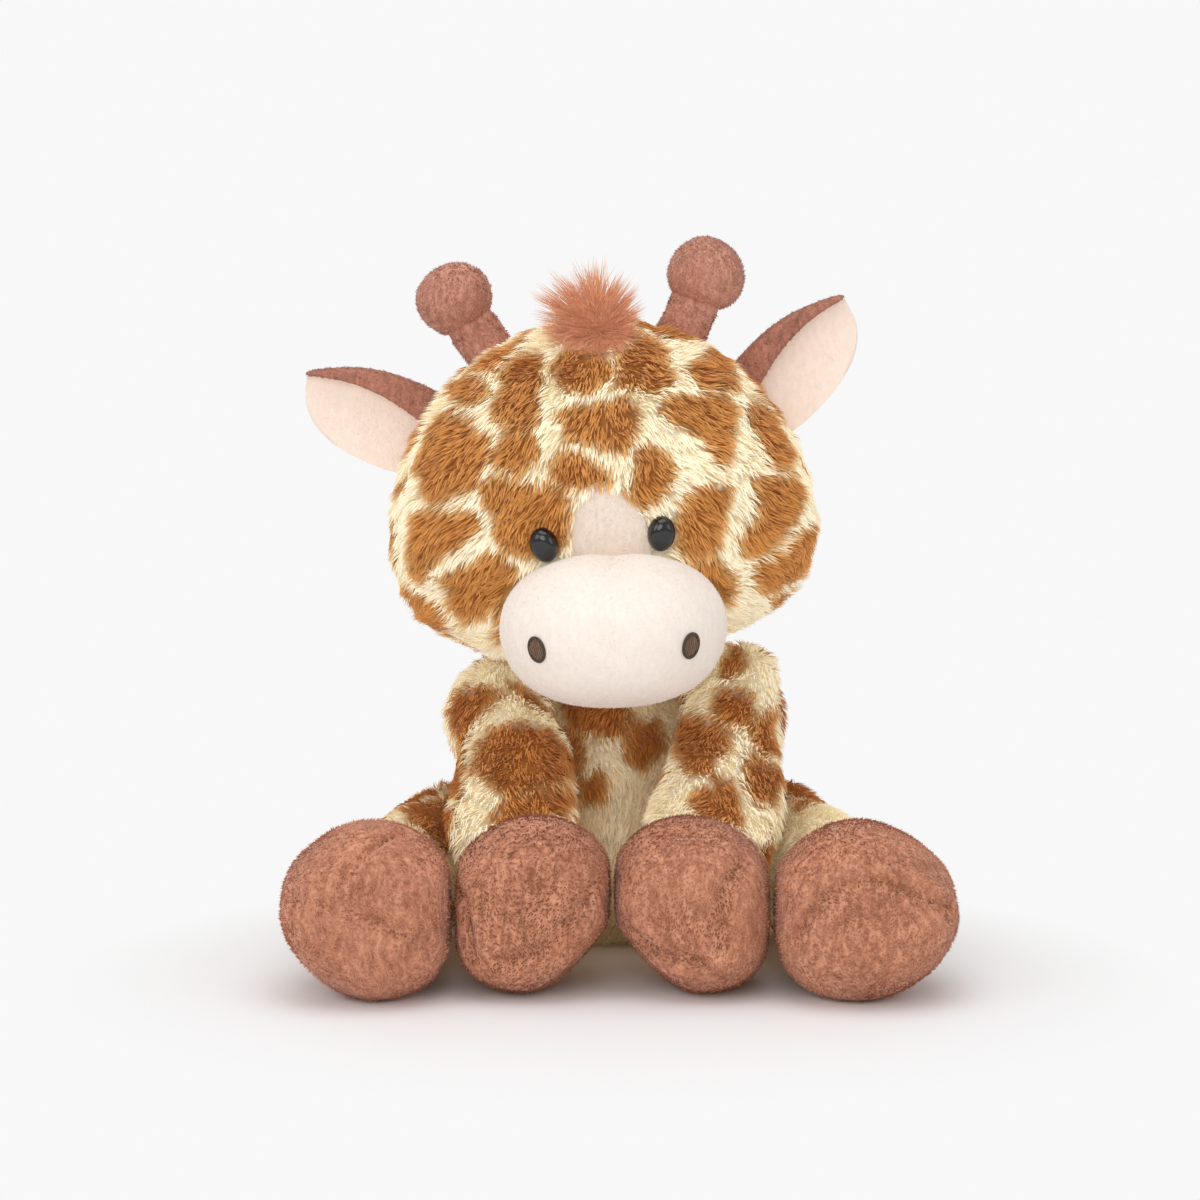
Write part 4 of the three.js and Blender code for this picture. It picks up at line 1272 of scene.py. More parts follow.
def limb_radii(limb):
    limbs = sizes("limbs")
    if limb == "arm":
        return limbs.shoulder_radius, limbs.wrist_radius
    return limbs.hip_radius, limbs.ankle_radius


def limb_frame(limb, side):
    root = limb_root(limb, side)
    way = (hoof_middle(limb, side) - root).normalized()
    twist = Vector((0, 0, 1)).rotation_difference(way).to_matrix().to_4x4()
    return Matrix.Translation(root) @ twist


def limb_reach(limb, side):
    return (hoof_middle(limb, side) - limb_root(limb, side)).length


def hoof_gap(points, limb, side, inset=0.0):
    matrix = Matrix.Translation(hoof_middle(limb, side))
    return pillow_gap(points, matrix, hoof_size(limb, side, inset), sizes("limbs").squareness)


def in_hoof(points, limb, side, inset=0.0):
    return hoof_gap(points, limb, side, inset) < 0


def limb_gap(points, limb, side):
    """How far places lie from a limb's sleeve; negative inside"""
    root, end = limb_radii(limb)
    reach = limb_reach(limb, side)
    local = carry(points, limb_frame(limb, side).inverted())
    share = unit(local[:, 2] / reach)
    beyond = np.minimum(local[:, 2], 0) + np.maximum(local[:, 2] - reach, 0)
    return np.sqrt(local[:, 0] ** 2 + local[:, 1] ** 2 + beyond ** 2) - root - (end - root) * share


def in_limb(points, limb, side, inset=0.0):
    """Which places lie inside a limb's sleeve"""
    local = carry(points, limb_frame(limb, side).inverted())
    return (limb_gap(points, limb, side) < -inset) & (local[:, 2] < limb_reach(limb, side))


def painted_fold_shade(points, own):
    """Painted shade: how much light reaches fur, painted into its colour where other parts stand near it and
    low down at the front; 1 in the open. own is (limb, side).
    """
    light = np.ones(len(points))

    def press(gap, reach, most):
        light[:] *= 1 - most * np.exp(-(np.maximum(gap, 0) / reach) ** 2)

    press(head_gap(points), 11 * MM, 0.45)
    press(muzzle_gap(points), 12 * MM, 0.4)
    for limb, reach, most in (("arm", 13 * MM, 0.6), ("leg", 6 * MM, 0.45)):
        for _, side in SIDES:
            if own != (limb, side):
                press(limb_gap(points, limb, side), reach, most)
    if own[0] == "arm":
        return light ** 0.3
    low = unit((points[:, 2] - 6 * MM) / (34 * MM))
    light *= np.where(points[:, 1] < -15 * MM, 0.3 + 0.7 * low, 1.0)
    if own[0] in ("arm", "leg"):
        press(torso_gap(points), 5 * MM, 0.4)
        for _, side in SIDES:
            press(hoof_gap(points, "arm", side), 3 * MM, 0.35)
    return light


def axis_gap(points, matrix, reach):
    """Distance from the axis of a part"""
    local = carry(points, matrix.inverted())
    beyond = np.clip(local[:, 2], 0, reach)
    return far(local, np.column_stack([beyond * 0, beyond * 0, beyond]))


# Head


def head_skin(name, inset):
    """The head's skin, which stuffing pushes out to pile height"""
    fluff = sizes("head").fluff
    size = head_size(inset) + np.array((fluff, 0, fluff))
    obj = pillow(name, size, sizes("head").squareness, 34)
    points = corners(obj)
    points[:, 0] *= 1 - sizes("head").taper * 2 * points[:, 2] / size[2]
    place_corners(obj, carry(points, head_matrix()))
    return obj


def in_throat(points, overlap=0.0):
    """Which places lie under the muzzle"""
    local = carry(points, head_matrix().inverted())
    return (local[:, 2] < -sizes("face").muzzle_drop - overlap) & (local[:, 1] < -overlap)


def gusset_side(points):
    """0 for the right side of the head, 1 for the left, 2 for the middle panel, 3 for the throat"""
    head, face = sizes("head"), sizes("face")
    local = carry(points, head_matrix().inverted())
    half = head.gusset_width / 2 + head.gusset_flare * (local[:, 2] + face.eye_drop)
    groups = np.full(len(points), 2)
    groups[in_throat(points)] = 3
    groups[local[:, 0] < -half] = 0
    groups[local[:, 0] > half] = 1
    return groups


def gusset_plane(side):
    """Place and outward normal of the seam beside the middle panel"""
    head, face = sizes("head"), sizes("face")
    matrix = head_matrix()
    place = matrix @ Vector((side * head.gusset_width / 2, 0, -face.eye_drop))
    normal = (matrix.to_3x3() @ Vector((side, 0, -head.gusset_flare))).normalized()
    return place, normal


def head_way(points, normals):
    """Fur runs down and outwards from the crown"""
    local = carry(points, head_matrix().inverted())
    ways = np.column_stack([local[:, 0] / 0.042, (local[:, 1] + 0.012) / 0.075, np.full(len(local), -1.0)])
    return ways @ np.array(head_matrix().to_3x3()).T


def head_keep(points, normals):
    keep = ~in_muzzle(points, -0.8 * MM) & ~on_blaze(points)
    crown = sizes("crown")
    for _, side in SIDES:
        gap = axis_gap(points, ossicone_frame(side), crown.ossicone_reach)
        keep &= gap > crown.ossicone_radius - 0.4 * MM
        keep &= far(points, np.array(eye_frame(side).translation)) > sizes("face").eye_width * 0.56
    return keep


def eye_trim(points):
    """The fur is shorn round the eyes"""
    trim = np.ones(len(points))
    for _, side in SIDES:
        gap = far(points, np.array(eye_frame(side).translation))
        trim = np.minimum(trim, np.clip((gap - 2.0 * MM) / (8 * MM), 0.35, 1))
    return trim


def backing_finish(made):
    """The fur's knitted backing, dyed through"""
    dye = made.node("ShaderNodeAttribute", {"attribute_name": "dye"})[0]
    knit = made.noise(1400, 2)[0]
    shade = made.ramp(knit, ((0.3, 0.75), (0.7, 1.0)))
    made.set(Base_Color=made.mix(1.0, dye, shade, "MULTIPLY"), Roughness=0.85 + 0.1 * knit)
    return made.set(Normal=made.bump(knit, 0.4 * MM, 0.6), Specular_IOR_Level=0.1)


def backed(obj, patches, body, node, fill=0.8, rng=None):
    """Settles a skin as its fur's backing, dyed like the fur's roots"""
    base, tip = fur_dyes(patches, corners(obj), outward(obj), rng or default_rng(5))
    dye_and_shade_points(obj.data, base * 0.7 + tip * 0.3)
    smooth(obj)
    finish("backing", backing_finish).on(obj)
    settle(obj, body, "spotted_fur", node, fill=fill)


class HeadMaker(bpy.types.Operator):
    """Sews the head's panels and brushes the spotted fur on them"""

    bl_idname = "giraffe.head"
    bl_label = "Head"

    def execute(self, context):
        inset = sizes("head").skin_inset
        swell = 0.5 * MM
        form = head_skin("head_form", inset)

        def sewn(points):
            seams = [gusset_plane(side) for _, side in SIDES]
            gaps = [np.abs((points - np.array(at)) @ np.array(way)) for at, way in seams]
            return np.minimum(*gaps) < 2.4 * MM

        stuffed(form, sewn, swell, 4.5 * MM)
        patches = Patches(form, HEAD_PATCHES, 11, dye="patch")
        for name, side in SIDES:
            panel = copied(form, f"head_side_{name}_cloth")
            place, normal = gusset_plane(side)
            cut(panel, place, -normal)
            self.dress(panel, patches, f"head_side_{name}")
        for name, covered in (
            ("head_gusset", lambda points: in_throat(points, 3 * MM)),
            ("head_throat", lambda points: ~in_throat(points)),
        ):
            panel = copied(form, f"{name}_cloth")
            for _, side in SIDES:
                cut(panel, *gusset_plane(side))
            drop_inside(panel, covered)
            self.dress(panel, patches, name)
        nodes = "head_side_right", "head_side_left", "head_gusset", "head_throat"
        fur(form, patches, head_keep, head_way, sizes("pile").fur_density, "head", nodes, 21, gusset_side,
            eye_trim)
        bpy.data.objects.remove(form)
        return {"FINISHED"}

    def dress(self, panel, patches, node):
        drop_inside(panel, lambda points: in_muzzle(points, 5 * MM))
        points = corners(panel)
        place_corners(panel, points - outward(panel) * (on_blaze(points) * 2.6 * MM)[:, None])
        walled(panel, WALL)
        backed(panel, patches, "head", node, 0.85)


class MuzzleMaker(bpy.types.Operator):
    """Sews the muzzle from two halves, and the blaze above it"""

    bl_idname = "giraffe.muzzle"
    bl_label = "Muzzle and blaze"

    def execute(self, context):
        face, colours = sizes("face"), sizes("colours")
        form = self.form()
        # Painted glow on the muzzle's plush and on its nap
        cream = plush_finish(colours.muzzle, np.array(colours.muzzle) * 0.955, 620, 0.13)
        cream = finish("muzzle_plush", cream)
        matrix = muzzle_matrix()
        across = (matrix.to_3x3() @ Vector((1, 0, 0))).normalized()
        for name, side in SIDES:
            half = copied(form, f"muzzle_{name}_plush")
            cut(half, matrix.translation, -side * across)
            drop_inside(half, lambda points: in_head(points, 6 * MM))
            walled(half, WALL)
            smooth(half, 75)
            cream.on(half)
            settle(half, "head", "cream_plush", f"muzzle_{name}", fill=0.9)
        nap("muzzle_nap", form, colours.muzzle, np.array(colours.muzzle) * 0.95, "head", "cream_plush", 31,
            keep=lambda points, normals: ~in_head(points, 2 * MM), scale=0.5, density=1.1, variety=0.02,
            rise=26, shade_and_seam=self.seam, pale=True)
        self.blaze(face, colours)
        return {"FINISHED"}

    def seam(self, points):
        """The nap is darker along the upper half of the middle seam"""
        local = carry(points, muzzle_matrix().inverted())
        return 1 - 0.22 * np.exp(-(local[:, 0] / (0.45 * MM)) ** 2) * (local[:, 2] > -5 * MM)

    def form(self):
        """The muzzle, held along its middle seam and where it is sewn to the head"""
        face = sizes("face")
        swell = 1.4 * MM
        obj = pillow("muzzle_form", muzzle_size(swell), face.muzzle_squareness, 30)
        points = corners(obj)
        points[:, 2] *= np.where(points[:, 2] < 0, 1.12, 1.0)
        place_corners(obj, carry(points, muzzle_matrix()))
        inverse = muzzle_matrix().inverted()

        def sewn(points):
            local = carry(points, inverse)
            seam = (np.abs(local[:, 0]) < 1.3 * MM) & (local[:, 2] > -4 * MM)
            return seam | in_head(points, 2 * MM)

        stuffed(obj, sewn, swell, 2.9 * MM)
        return obj

    def blaze(self, face, colours):
        obj = started("face_blaze_plush", bpy.ops.mesh.primitive_grid_add, x_subdivisions=30,
                      y_subdivisions=40, size=2)
        flat = corners(obj)
        z = -face.blaze_drop + (flat[:, 1] + 1) / 2 * (face.blaze_rise + face.blaze_drop - 0.02 * MM)
        x = face.blaze_shift + flat[:, 0] * (blaze_half(z) + 0.8 * MM)
        place_corners(obj, carry(np.column_stack([x, face_y(x, z, 3.4 * MM), z]), head_matrix()))
        drop_inside(obj, lambda points: in_muzzle(points, 2 * MM))
        walled(obj, -WALL)
        smooth(obj)
        pink = plush_finish(colours.blaze, np.array(colours.blaze) * 0.93, 620)
        finish("blaze_plush", pink).on(obj)
        settle(obj, "head", "blaze_plush", "face_blaze")
        nap("face_blaze_nap", obj, colours.blaze, np.array(colours.blaze) * 0.93, "head", "blaze_plush", 33,
            keep=lambda points, normals: normals[:, 1] < 0, scale=0.6, density=1.2, variety=0.12, rise=28)


class FaceMaker(bpy.types.Operator):
    """Sets the eyes and embroiders the nostrils"""

    bl_idname = "giraffe.face"
    bl_label = "Eyes and nostrils"

    def execute(self, context):
        form = bpy.data.objects["muzzle_form"]
        surface = Surface(form)
        for name, side in SIDES:
            self.eye(name, side)
            self.nostril(name, side, surface)
            finish("washer", washer_finish).on(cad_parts[f"eye_washer_{name}"])
        bpy.data.objects.remove(form)
        return {"FINISHED"}

    def eye(self, name, side):
        face = sizes("face")
        obj = round_form(f"eye_{name}_gloss", 20)
        points = corners(obj)
        away = np.hypot(points[:, 0], points[:, 1])
        rise = np.clip(1 - away ** 2.7, 0, None) ** (1 / 2.3)
        points[:, 2] = np.where(points[:, 2] > 0, rise * face.eye_dome, points[:, 2] * 1.2 * MM)
        points[:, 0] *= face.eye_width / 2
        points[:, 1] *= face.eye_height / 2
        place_corners(obj, carry(points, eye_frame(side)))
        smooth(obj, 80)
        finish("eye_gloss", gloss_finish).on(obj)
        settle(obj, "head", "eye_gloss", f"eye_{name}")

    def nostril(self, name, side, surface):
        """Satin stitches across an oval, and an outline stitch round it"""
        face = sizes("face")
        matrix = muzzle_matrix()
        rng = default_rng(40 + side)
        lean = side * math.radians(12)

        def on_muzzle(x, z, raise_by):
            level = side * face.nostril_spacing / 2 + x * math.cos(lean) + z * math.sin(lean)
            rise = -face.nostril_drop - x * math.sin(lean) + z * math.cos(lean)
            start = matrix @ Vector((level, -face.muzzle_depth / 2, rise))
            way = (matrix.to_3x3() @ Vector((0, 1, 0))).normalized()
            place, normal, _, _ = surface.tree.ray_cast(start, way)
            return place + normal * raise_by

        wide, high = face.nostril_width / 2, face.nostril_height / 2
        paths = []
        count = 7
        for i in range(count):
            x = (i / (count - 1) * 2 - 1) * 0.82
            top = math.sqrt(1 - x * x) * 0.96
            steps = np.linspace(-top, top, 9)
            wobble = rng.normal() * 0.05
            paths.append([
                on_muzzle((x + wobble * z) * wide, z * high, (0.25 + 0.45 * (1 - (z / top) ** 2)) * MM)
                for z in steps
            ])
        turns = np.linspace(0, 2 * math.pi, 30, endpoint=False)
        ring = [on_muzzle(math.cos(a) * wide, math.sin(a) * high, 0.5 * MM) for a in turns]
        outline = self.strand(ring, face.thread * 1.9, True)
        outline.name = f"nostril_{name}_outline"
        smooth(outline, 80)
        finish("dark_thread", thread_finish("outline")).on(outline)
        settle(outline, "head", "stitching", f"nostril_{name}")
        pieces = [self.strand(path, face.thread, False) for path in paths]
        bpy.ops.object.select_all(action="DESELECT")
        for piece in pieces:
            piece.select_set(True)
        bpy.context.view_layer.objects.active = pieces[0]
        bpy.ops.object.join()
        obj = fresh(f"nostril_{name}_stitches")
        smooth(obj, 80)
        finish("thread", thread_finish("thread")).on(obj)
        settle(obj, "head", "stitching", f"nostril_{name}")

    def strand(self, path, thickness, closed):
        """A round thread along a path"""
        curve = bpy.data.curves.new("strand", "CURVE")
        curve.dimensions = "3D"
        curve.bevel_depth = thickness / 2
        curve.bevel_resolution = 2
        curve.use_fill_caps = True
        spline = curve.splines.new("POLY")
        spline.points.add(len(path) - 1)
        for point, place in zip(spline.points, path):
            point.co = (*place, 1)
        spline.use_cyclic_u = closed
        only(linked("strand", curve))
        bpy.ops.object.convert(target="MESH")
        return bpy.context.view_layer.objects.active


class OssiconeMaker(bpy.types.Operator):
    """Sews the ossicones: a plush stem and a round knob"""

    bl_idname = "giraffe.ossicones"
    bl_label = "Ossicones"

    def execute(self, context):
        crown, colours = sizes("crown"), sizes("colours")
        brown = finish("horn_plush", plush_finish(colours.horn, colours.horn_root, 560))
        for name, side in SIDES:
            matrix = ossicone_frame(side)
            body = f"ossicone_{name}"
            radius, reach = crown.ossicone_radius, crown.ossicone_reach * 0.8
            stem = sleeve_form(f"{body}_stem_plush", radius, radius * 0.97, reach, 12, 36)
            place_corners(stem, carry(corners(stem), matrix))
            crumple(stem, 0.012, 0.25 * MM, 51)
            smooth(stem, 75)
            brown.on(stem)
            settle(stem, body, "brown_plush", f"{body}_stem", fill=0.9)
            knob = round_form(f"{body}_knob_plush", 22)
            points = corners(knob)
            waist = np.exp(-((points[:, 2] + 1.0) / 0.35) ** 2) * 0.06
            points = points * (1 - waist)[:, None] * np.array((1.0, 1.0, 0.98)) * crown.knob_diameter / 2
            points[:, 2] += crown.ossicone_reach
            place_corners(knob, carry(points, matrix))
            crumple(knob, 0.02, 0.3 * MM, 52)
            smooth(knob, 75)
            brown.on(knob)
            settle(knob, body, "brown_plush", f"{body}_knob", fill=0.9)

            def bare(points, normals, matrix=matrix):
                rise = carry(points, matrix.inverted())[:, 2]
                return (rise < crown.ossicone_reach - crown.knob_diameter * 0.42) & (rise > -2 * MM)

            def beyond(points, normals, matrix=matrix):
                return axis_gap(points, matrix, crown.ossicone_reach * 0.7) > crown.ossicone_radius

            nap(f"{body}_stem_nap", stem, colours.horn, colours.horn_root, body, "brown_plush", 53, keep=bare,
                density=1.5, scale=0.8)
            nap(f"{body}_knob_nap", knob, colours.horn, colours.horn_root, body, "brown_plush", 54,
                keep=beyond, density=1.5, scale=0.8, sway=1.6)
        return {"FINISHED"}


def ear_section(share, strip):
    """Where the ear's sheet runs in y and z, and the way its back faces. strip is -1 at the lower edge, 0 at
    the fold and 1 at the edge of the flap."""
    crown = sizes("crown")
    width = crown.ear_tip + (crown.ear_width - crown.ear_tip) * np.sqrt(unit(1 - share ** 2.6))
    width = width + crown.ear_billow * np.sin(math.pi * share ** 0.8) * np.maximum(-strip, 0)
    flap = crown.ear_root_flap + (crown.ear_tip_flap - crown.ear_root_flap) * share
    fold = crown.ear_root_fold + (crown.ear_tip_fold - crown.ear_root_fold) * share
    cup_radius = crown.ear_width / crown.ear_cup
    bend = np.maximum(-strip, 0) * width / cup_radius
    run = np.maximum(strip, 0) * flap
    turned = np.minimum(fold, run / crown.ear_fold)
    rest = run - turned * crown.ear_fold
    y = -cup_radius * (1 - np.cos(bend)) - crown.ear_fold * (1 - np.cos(turned)) - rest * np.sin(turned)
    z = -cup_radius * np.sin(bend) + crown.ear_fold * np.sin(turned) + rest * np.cos(turned)
    angle = turned - bend
    return y, z, np.cos(angle), np.sin(angle)


def ear_sheet(name, side, inner, outer):
    """One layer of an ear, folded over along its upper edge"""
    crown = sizes("crown")
    obj = started(name, bpy.ops.mesh.primitive_cube_add, size=1)
    with editing(obj, "SELECT"):
        bpy.ops.mesh.subdivide(number_cuts=31)
    box = corners(obj)
    along = (1 - (0.5 - box[:, 0]) ** 1.5) * (crown.ear_length + crown.ear_sink) - crown.ear_sink
    share = unit(along / crown.ear_length)
    strip = 2 * box[:, 2]
    strip = np.where(strip < 0, strip * (0.95 if inner > 0 else 1.0), strip)
    rim = np.sqrt(unit(1 - np.abs(strip) ** 12)) * np.sqrt(unit(1 - share ** 16))
    depth = inner + (outer - inner) * (0.5 + box[:, 1] * (0.15 + 0.85 * rim))
    y, z, back_y, back_z = ear_section(share, strip)
    arch = crown.ear_width / 2 + crown.ear_bulge * np.sin(share * math.pi)
    points = np.column_stack([along, y + back_y * depth + crown.ear_set, z + back_z * depth + arch])
    place_corners(obj, carry(points, ear_frame(side)))
    with editing(obj, "SELECT"):
        bpy.ops.mesh.normals_make_consistent(inside=False)
    return obj


class EarMaker(bpy.types.Operator):
    """Sews the ears: a brown back and a pale lining, folded at the root"""

    bl_idname = "giraffe.ears"
    bl_label = "Ears"

    def execute(self, context):
        crown, colours = sizes("crown"), sizes("colours")
        brown = finish("ear_plush", plush_finish(colours.ear, np.array(colours.ear) * 0.72, 620))
        # Painted glow on the lining's plush and on its nap
        pale = plush_finish(colours.lining, np.array(colours.lining) * 0.95, 620, 0.12)
        pale = finish("lining_plush", pale)
        for name, side in SIDES:
            body, gap = f"ear_{name}", 0.12 * MM
            sheet = ear_sheet(f"{body}_back_plush", side, gap, gap + crown.ear_layer)
            lining = ear_sheet(f"{body}_lining_plush", side, -gap - crown.ear_layer, -gap)
            for obj, made, slot, node in (
                (sheet, brown, "brown_plush", "back"), (lining, pale, "cream_plush", "lining"),
            ):
                smooth(obj, 70)
                made.on(obj)
                settle(obj, body, slot, f"{body}_{node}")
            nap(f"{body}_back_nap", sheet, colours.ear, np.array(colours.ear) * 0.7, body, "brown_plush", 61,
                scale=0.6, density=1.3)
            nap(f"{body}_lining_nap", lining, colours.lining, np.array(colours.lining) * 0.95, body,
                "cream_plush", 62, scale=0.5, variety=0.04, rise=20, shade_and_seam=self.cupped(side), pale=True)
        return {"FINISHED"}

    def cupped(self, side):
        """Painted shade: the lining is darker inside its cup than along its rim"""
        crown = sizes("crown")

        def shade_and_seam(points):
            local = carry(points, ear_frame(side).inverted())
            share = unit(local[:, 0] / crown.ear_length)
            middle = crown.ear_width / 2 + crown.ear_bulge * np.sin(share * math.pi) - crown.ear_width * 0.62
            return 1 - 0.16 * np.exp(-((local[:, 2] - middle) / (5.5 * MM)) ** 2) * (1 - share ** 3)

        return shade_and_seam


def long_pile(name, points, normals, ways, lengths, lift, body, node, seed):
    """Long loose pile at the given roots"""
    colours = sizes("colours")
    rng = default_rng(seed)
    roots = Roots(points, normals).comb(ways, 0.12, rng)
    tone = rng.random(len(points))
    tip = unit(linear(colours.long_pile) * (0.75 + 0.45 * tone)[:, None])
    low = unit(linear(colours.long_root) * (0.8 + 0.4 * tone)[:, None])
    mid = low * 0.45 + tip * 0.55
    piece = tufts(name, roots, lengths, 0.42 * MM, lift, (mid, tip), rng, 0.5, 0.05, rings=2, curl=0.12)
    finish("fur", fur_finish).on(piece)
    settle(piece, body, "long_pile", node)


class PileMaker(bpy.types.Operator):
    """Brushes the forelock and the mane"""

    bl_idname = "giraffe.long_pile"
    bl_label = "Forelock and mane"

    def execute(self, context):
        crown, pile = sizes("crown"), sizes("pile")
        rng = default_rng(71)
        count = 4400
        skin = head_skin("head_form", 2.5 * MM)
        turned = np.array(head_matrix().to_3x3())
        start = head_matrix() @ Vector((crown.forelock_shift, -crown.forelock_forward, crown.forelock_rise))
        place, normal, _, _ = Surface(skin).tree.find_nearest(start)
        ways = rng.normal(size=(count, 3)) * np.array((0.42, 0.45, 0.55)) + np.array((-0.02, -0.8, 0.42))
        ways = ways[ways[:, 2] > -0.35]
        ways = ways / far(ways)[:, None] @ turned.T
        rise = unit(ways @ turned @ np.array((-0.24, -0.2, 0.95)))
        spread = ways - (ways @ np.array(normal))[:, None] * np.array(normal)
        points = np.array(place) + spread * crown.forelock_root
        normals = np.tile(np.array(normal), (len(ways), 1))
        lift = np.arcsin(np.clip(ways @ np.array(normal), -1, 1))
        lengths = pile.long_length * (0.45 + 0.5 * rise ** 2) * rng.uniform(0.75, 1.05, len(ways))
        lift = lift, lift - 0.35
        long_pile("forelock_pile", points, normals, ways, lengths, lift, "head", "forelock", 72)
        self.mane(skin, rng)
        bpy.data.objects.remove(skin)
        return {"FINISHED"}

    def mane(self, skin, rng):
        crown = sizes("crown")
        roots = sow(skin, 2.3, rng)
        local = carry(roots.points, head_matrix().inverted())
        keep = np.abs(local[:, 0]) < crown.mane_width / 2
        keep &= (local[:, 1] > 5 * MM) & (local[:, 2] > -20 * MM)
        roots = roots.only(keep)
        local = local[keep]
        ways = np.column_stack([local[:, 0] / 0.02, np.full(len(local), 0.6), np.full(len(local), -0.6)])
        ways = ways @ np.array(head_matrix().to_3x3()).T
        lengths = 11.5 * MM * rng.uniform(0.75, 1.1, len(roots))
        lift = np.full(len(roots), math.radians(75)), np.full(len(roots), math.radians(35))
        long_pile("mane_pile", roots.points, roots.normals, ways, lengths, lift, "head", "mane", 73)


# Body and limbs

CREASES = {
    ("arm", -1): (
        (((459, 873), (463, 900), (468, 930), (474, 957)), 2.2, 1.8),
        (((492, 962), (530, 955), (552, 940), (575, 915), (598, 885)), 1.2, 2.6),
        (((490, 905), (515, 915), (545, 900)), 0.7, 8.0),
    ),
    ("arm", 1): (
        (((740, 862), (727, 885), (720, 915), (722, 945)), 1.8, 2.4),
        (((625, 924), (640, 942), (660, 955), (700, 962)), 1.4, 2.4),
        (((670, 925), (700, 935)), 0.7, 8.0),
    ),
    ("leg", -1): (
        (((402, 836), (378, 844), (357, 858), (344, 878)), 2.0, 1.5),
        (((290, 898), (330, 908), (385, 925), (420, 945), (440, 968)), 1.5, 1.8),
        (((345, 895), (372, 905), (400, 915)), 0.7, 7.0),
    ),
    ("leg", 1): (
        (((795, 940), (812, 912), (838, 890), (870, 881), (905, 887), (935, 905)), 1.6, 2.0),
        (((850, 905), (890, 905)), 0.5, 8.0),
        (((945, 903), (949, 910), (947, 917)), 1.8, 2.0),
    ),
}


# Painted light: each hoof's nap is made lighter or darker by how light falls on it
HOOF_PAINTED_LIGHT = {("arm", -1): 0.66, ("arm", 1): 0.85, ("leg", -1): 1.06, ("leg", 1): 0.9}


def hoof_shape(points, limb, side):
    """Bends a pillow to a hoof: a rear one narrows outwards, a front one rises below on the inside"""
    middle = np.array(hoof_middle(limb, side))
    share = (points - middle) / hoof_size(limb, side) * 2
    outer, inner = unit(side * share[:, 0]), unit(-side * share[:, 0])
    moved = points.copy()
    if limb == "leg":
        level, narrow = (4.4 * MM, 0.58) if side < 0 else (0.0, 0.48)
        moved[:, 2] -= (points[:, 2] - middle[2] - level) * narrow * outer ** 1.4
        moved[:, 2] -= inner ** 2 * unit(share[:, 2]) * (3 if side < 0 else 8) * MM
        moved[:, 0] -= side * outer ** 3 * (1.8 if side < 0 else 0.6) * MM
    else:
        low, high = unit(-share[:, 2]), unit(share[:, 2])
        moved[:, 2] += (inner ** 1.3 * low * 24 - outer ** 2 * high * 5) * MM
    beside = np.clip(1.6 - np.abs(share).max(1), 0, 0.5)[:, None] * 2
    return points + (moved - points) * beside


def squeezed(points, limb, side):
    """Hooves side by side press each other flat, and the floor flattens them below"""
    limbs = sizes("limbs")
    soft, nap = 2.4 * MM, 0.5 * MM
    away = side * (points[:, 0] - limbs.front_shift)
    walls = [(0.0, 1)] if limb == "arm" else []
    walls.append((limbs.front_width + limbs.hoof_gap, -1 if limb == "arm" else 1))
    for wall, inner in walls:
        gap = (away - wall) * inner - nap
        away = np.where(gap < soft, wall + inner * (nap + soft * np.exp(np.minimum(gap / soft, 1) - 1)), away)
    height = np.maximum(points[:, 2], 0.25 * MM)
    return np.column_stack([limbs.front_shift + side * away, points[:, 1], height])


class Creases:
    """Listed lines along which the cloth of a hoof is drawn in"""

    def __init__(self, surface, lines):
        self.lines = [
            (np.array([surface.under(pixel)[0] for pixel in line]), depth * MM, width * MM)
            for line, depth, width in lines
        ]

    def near(self, points):
        return np.any([line_gap(points, line) < 0.6 * width for line, _, width in self.lines], axis=0)

    def press(self, obj, share):
        """Draws the cloth in along the lines, and swells it beside them"""
        for line, depth, width in self.lines:
            points = corners(obj)
            gap = line_gap(points, line)
            swell = np.exp(-((gap - 2.6 * width) / (1.4 * width)) ** 2)
            inward = share * depth * (np.exp(-(gap / (1.2 * width)) ** 2) - 0.4 * swell)
            place_corners(obj, points - outward(obj) * inward[:, None])

    def light(self, points):
        """Painted shade: the nap is darker in a crease, with a painted highlight a little lighter beside it
        """
        light = np.ones(len(points))
        for line, depth, width in self.lines:
            gap = line_gap(points, line)
            deep = min(1.0, depth / (2 * MM))
            light *= 1 - 0.66 * deep * np.exp(-(gap / width) ** 2)
            light *= 1 + 0.16 * deep * np.exp(-((gap - 2.2 * width) / width) ** 2)
        return light


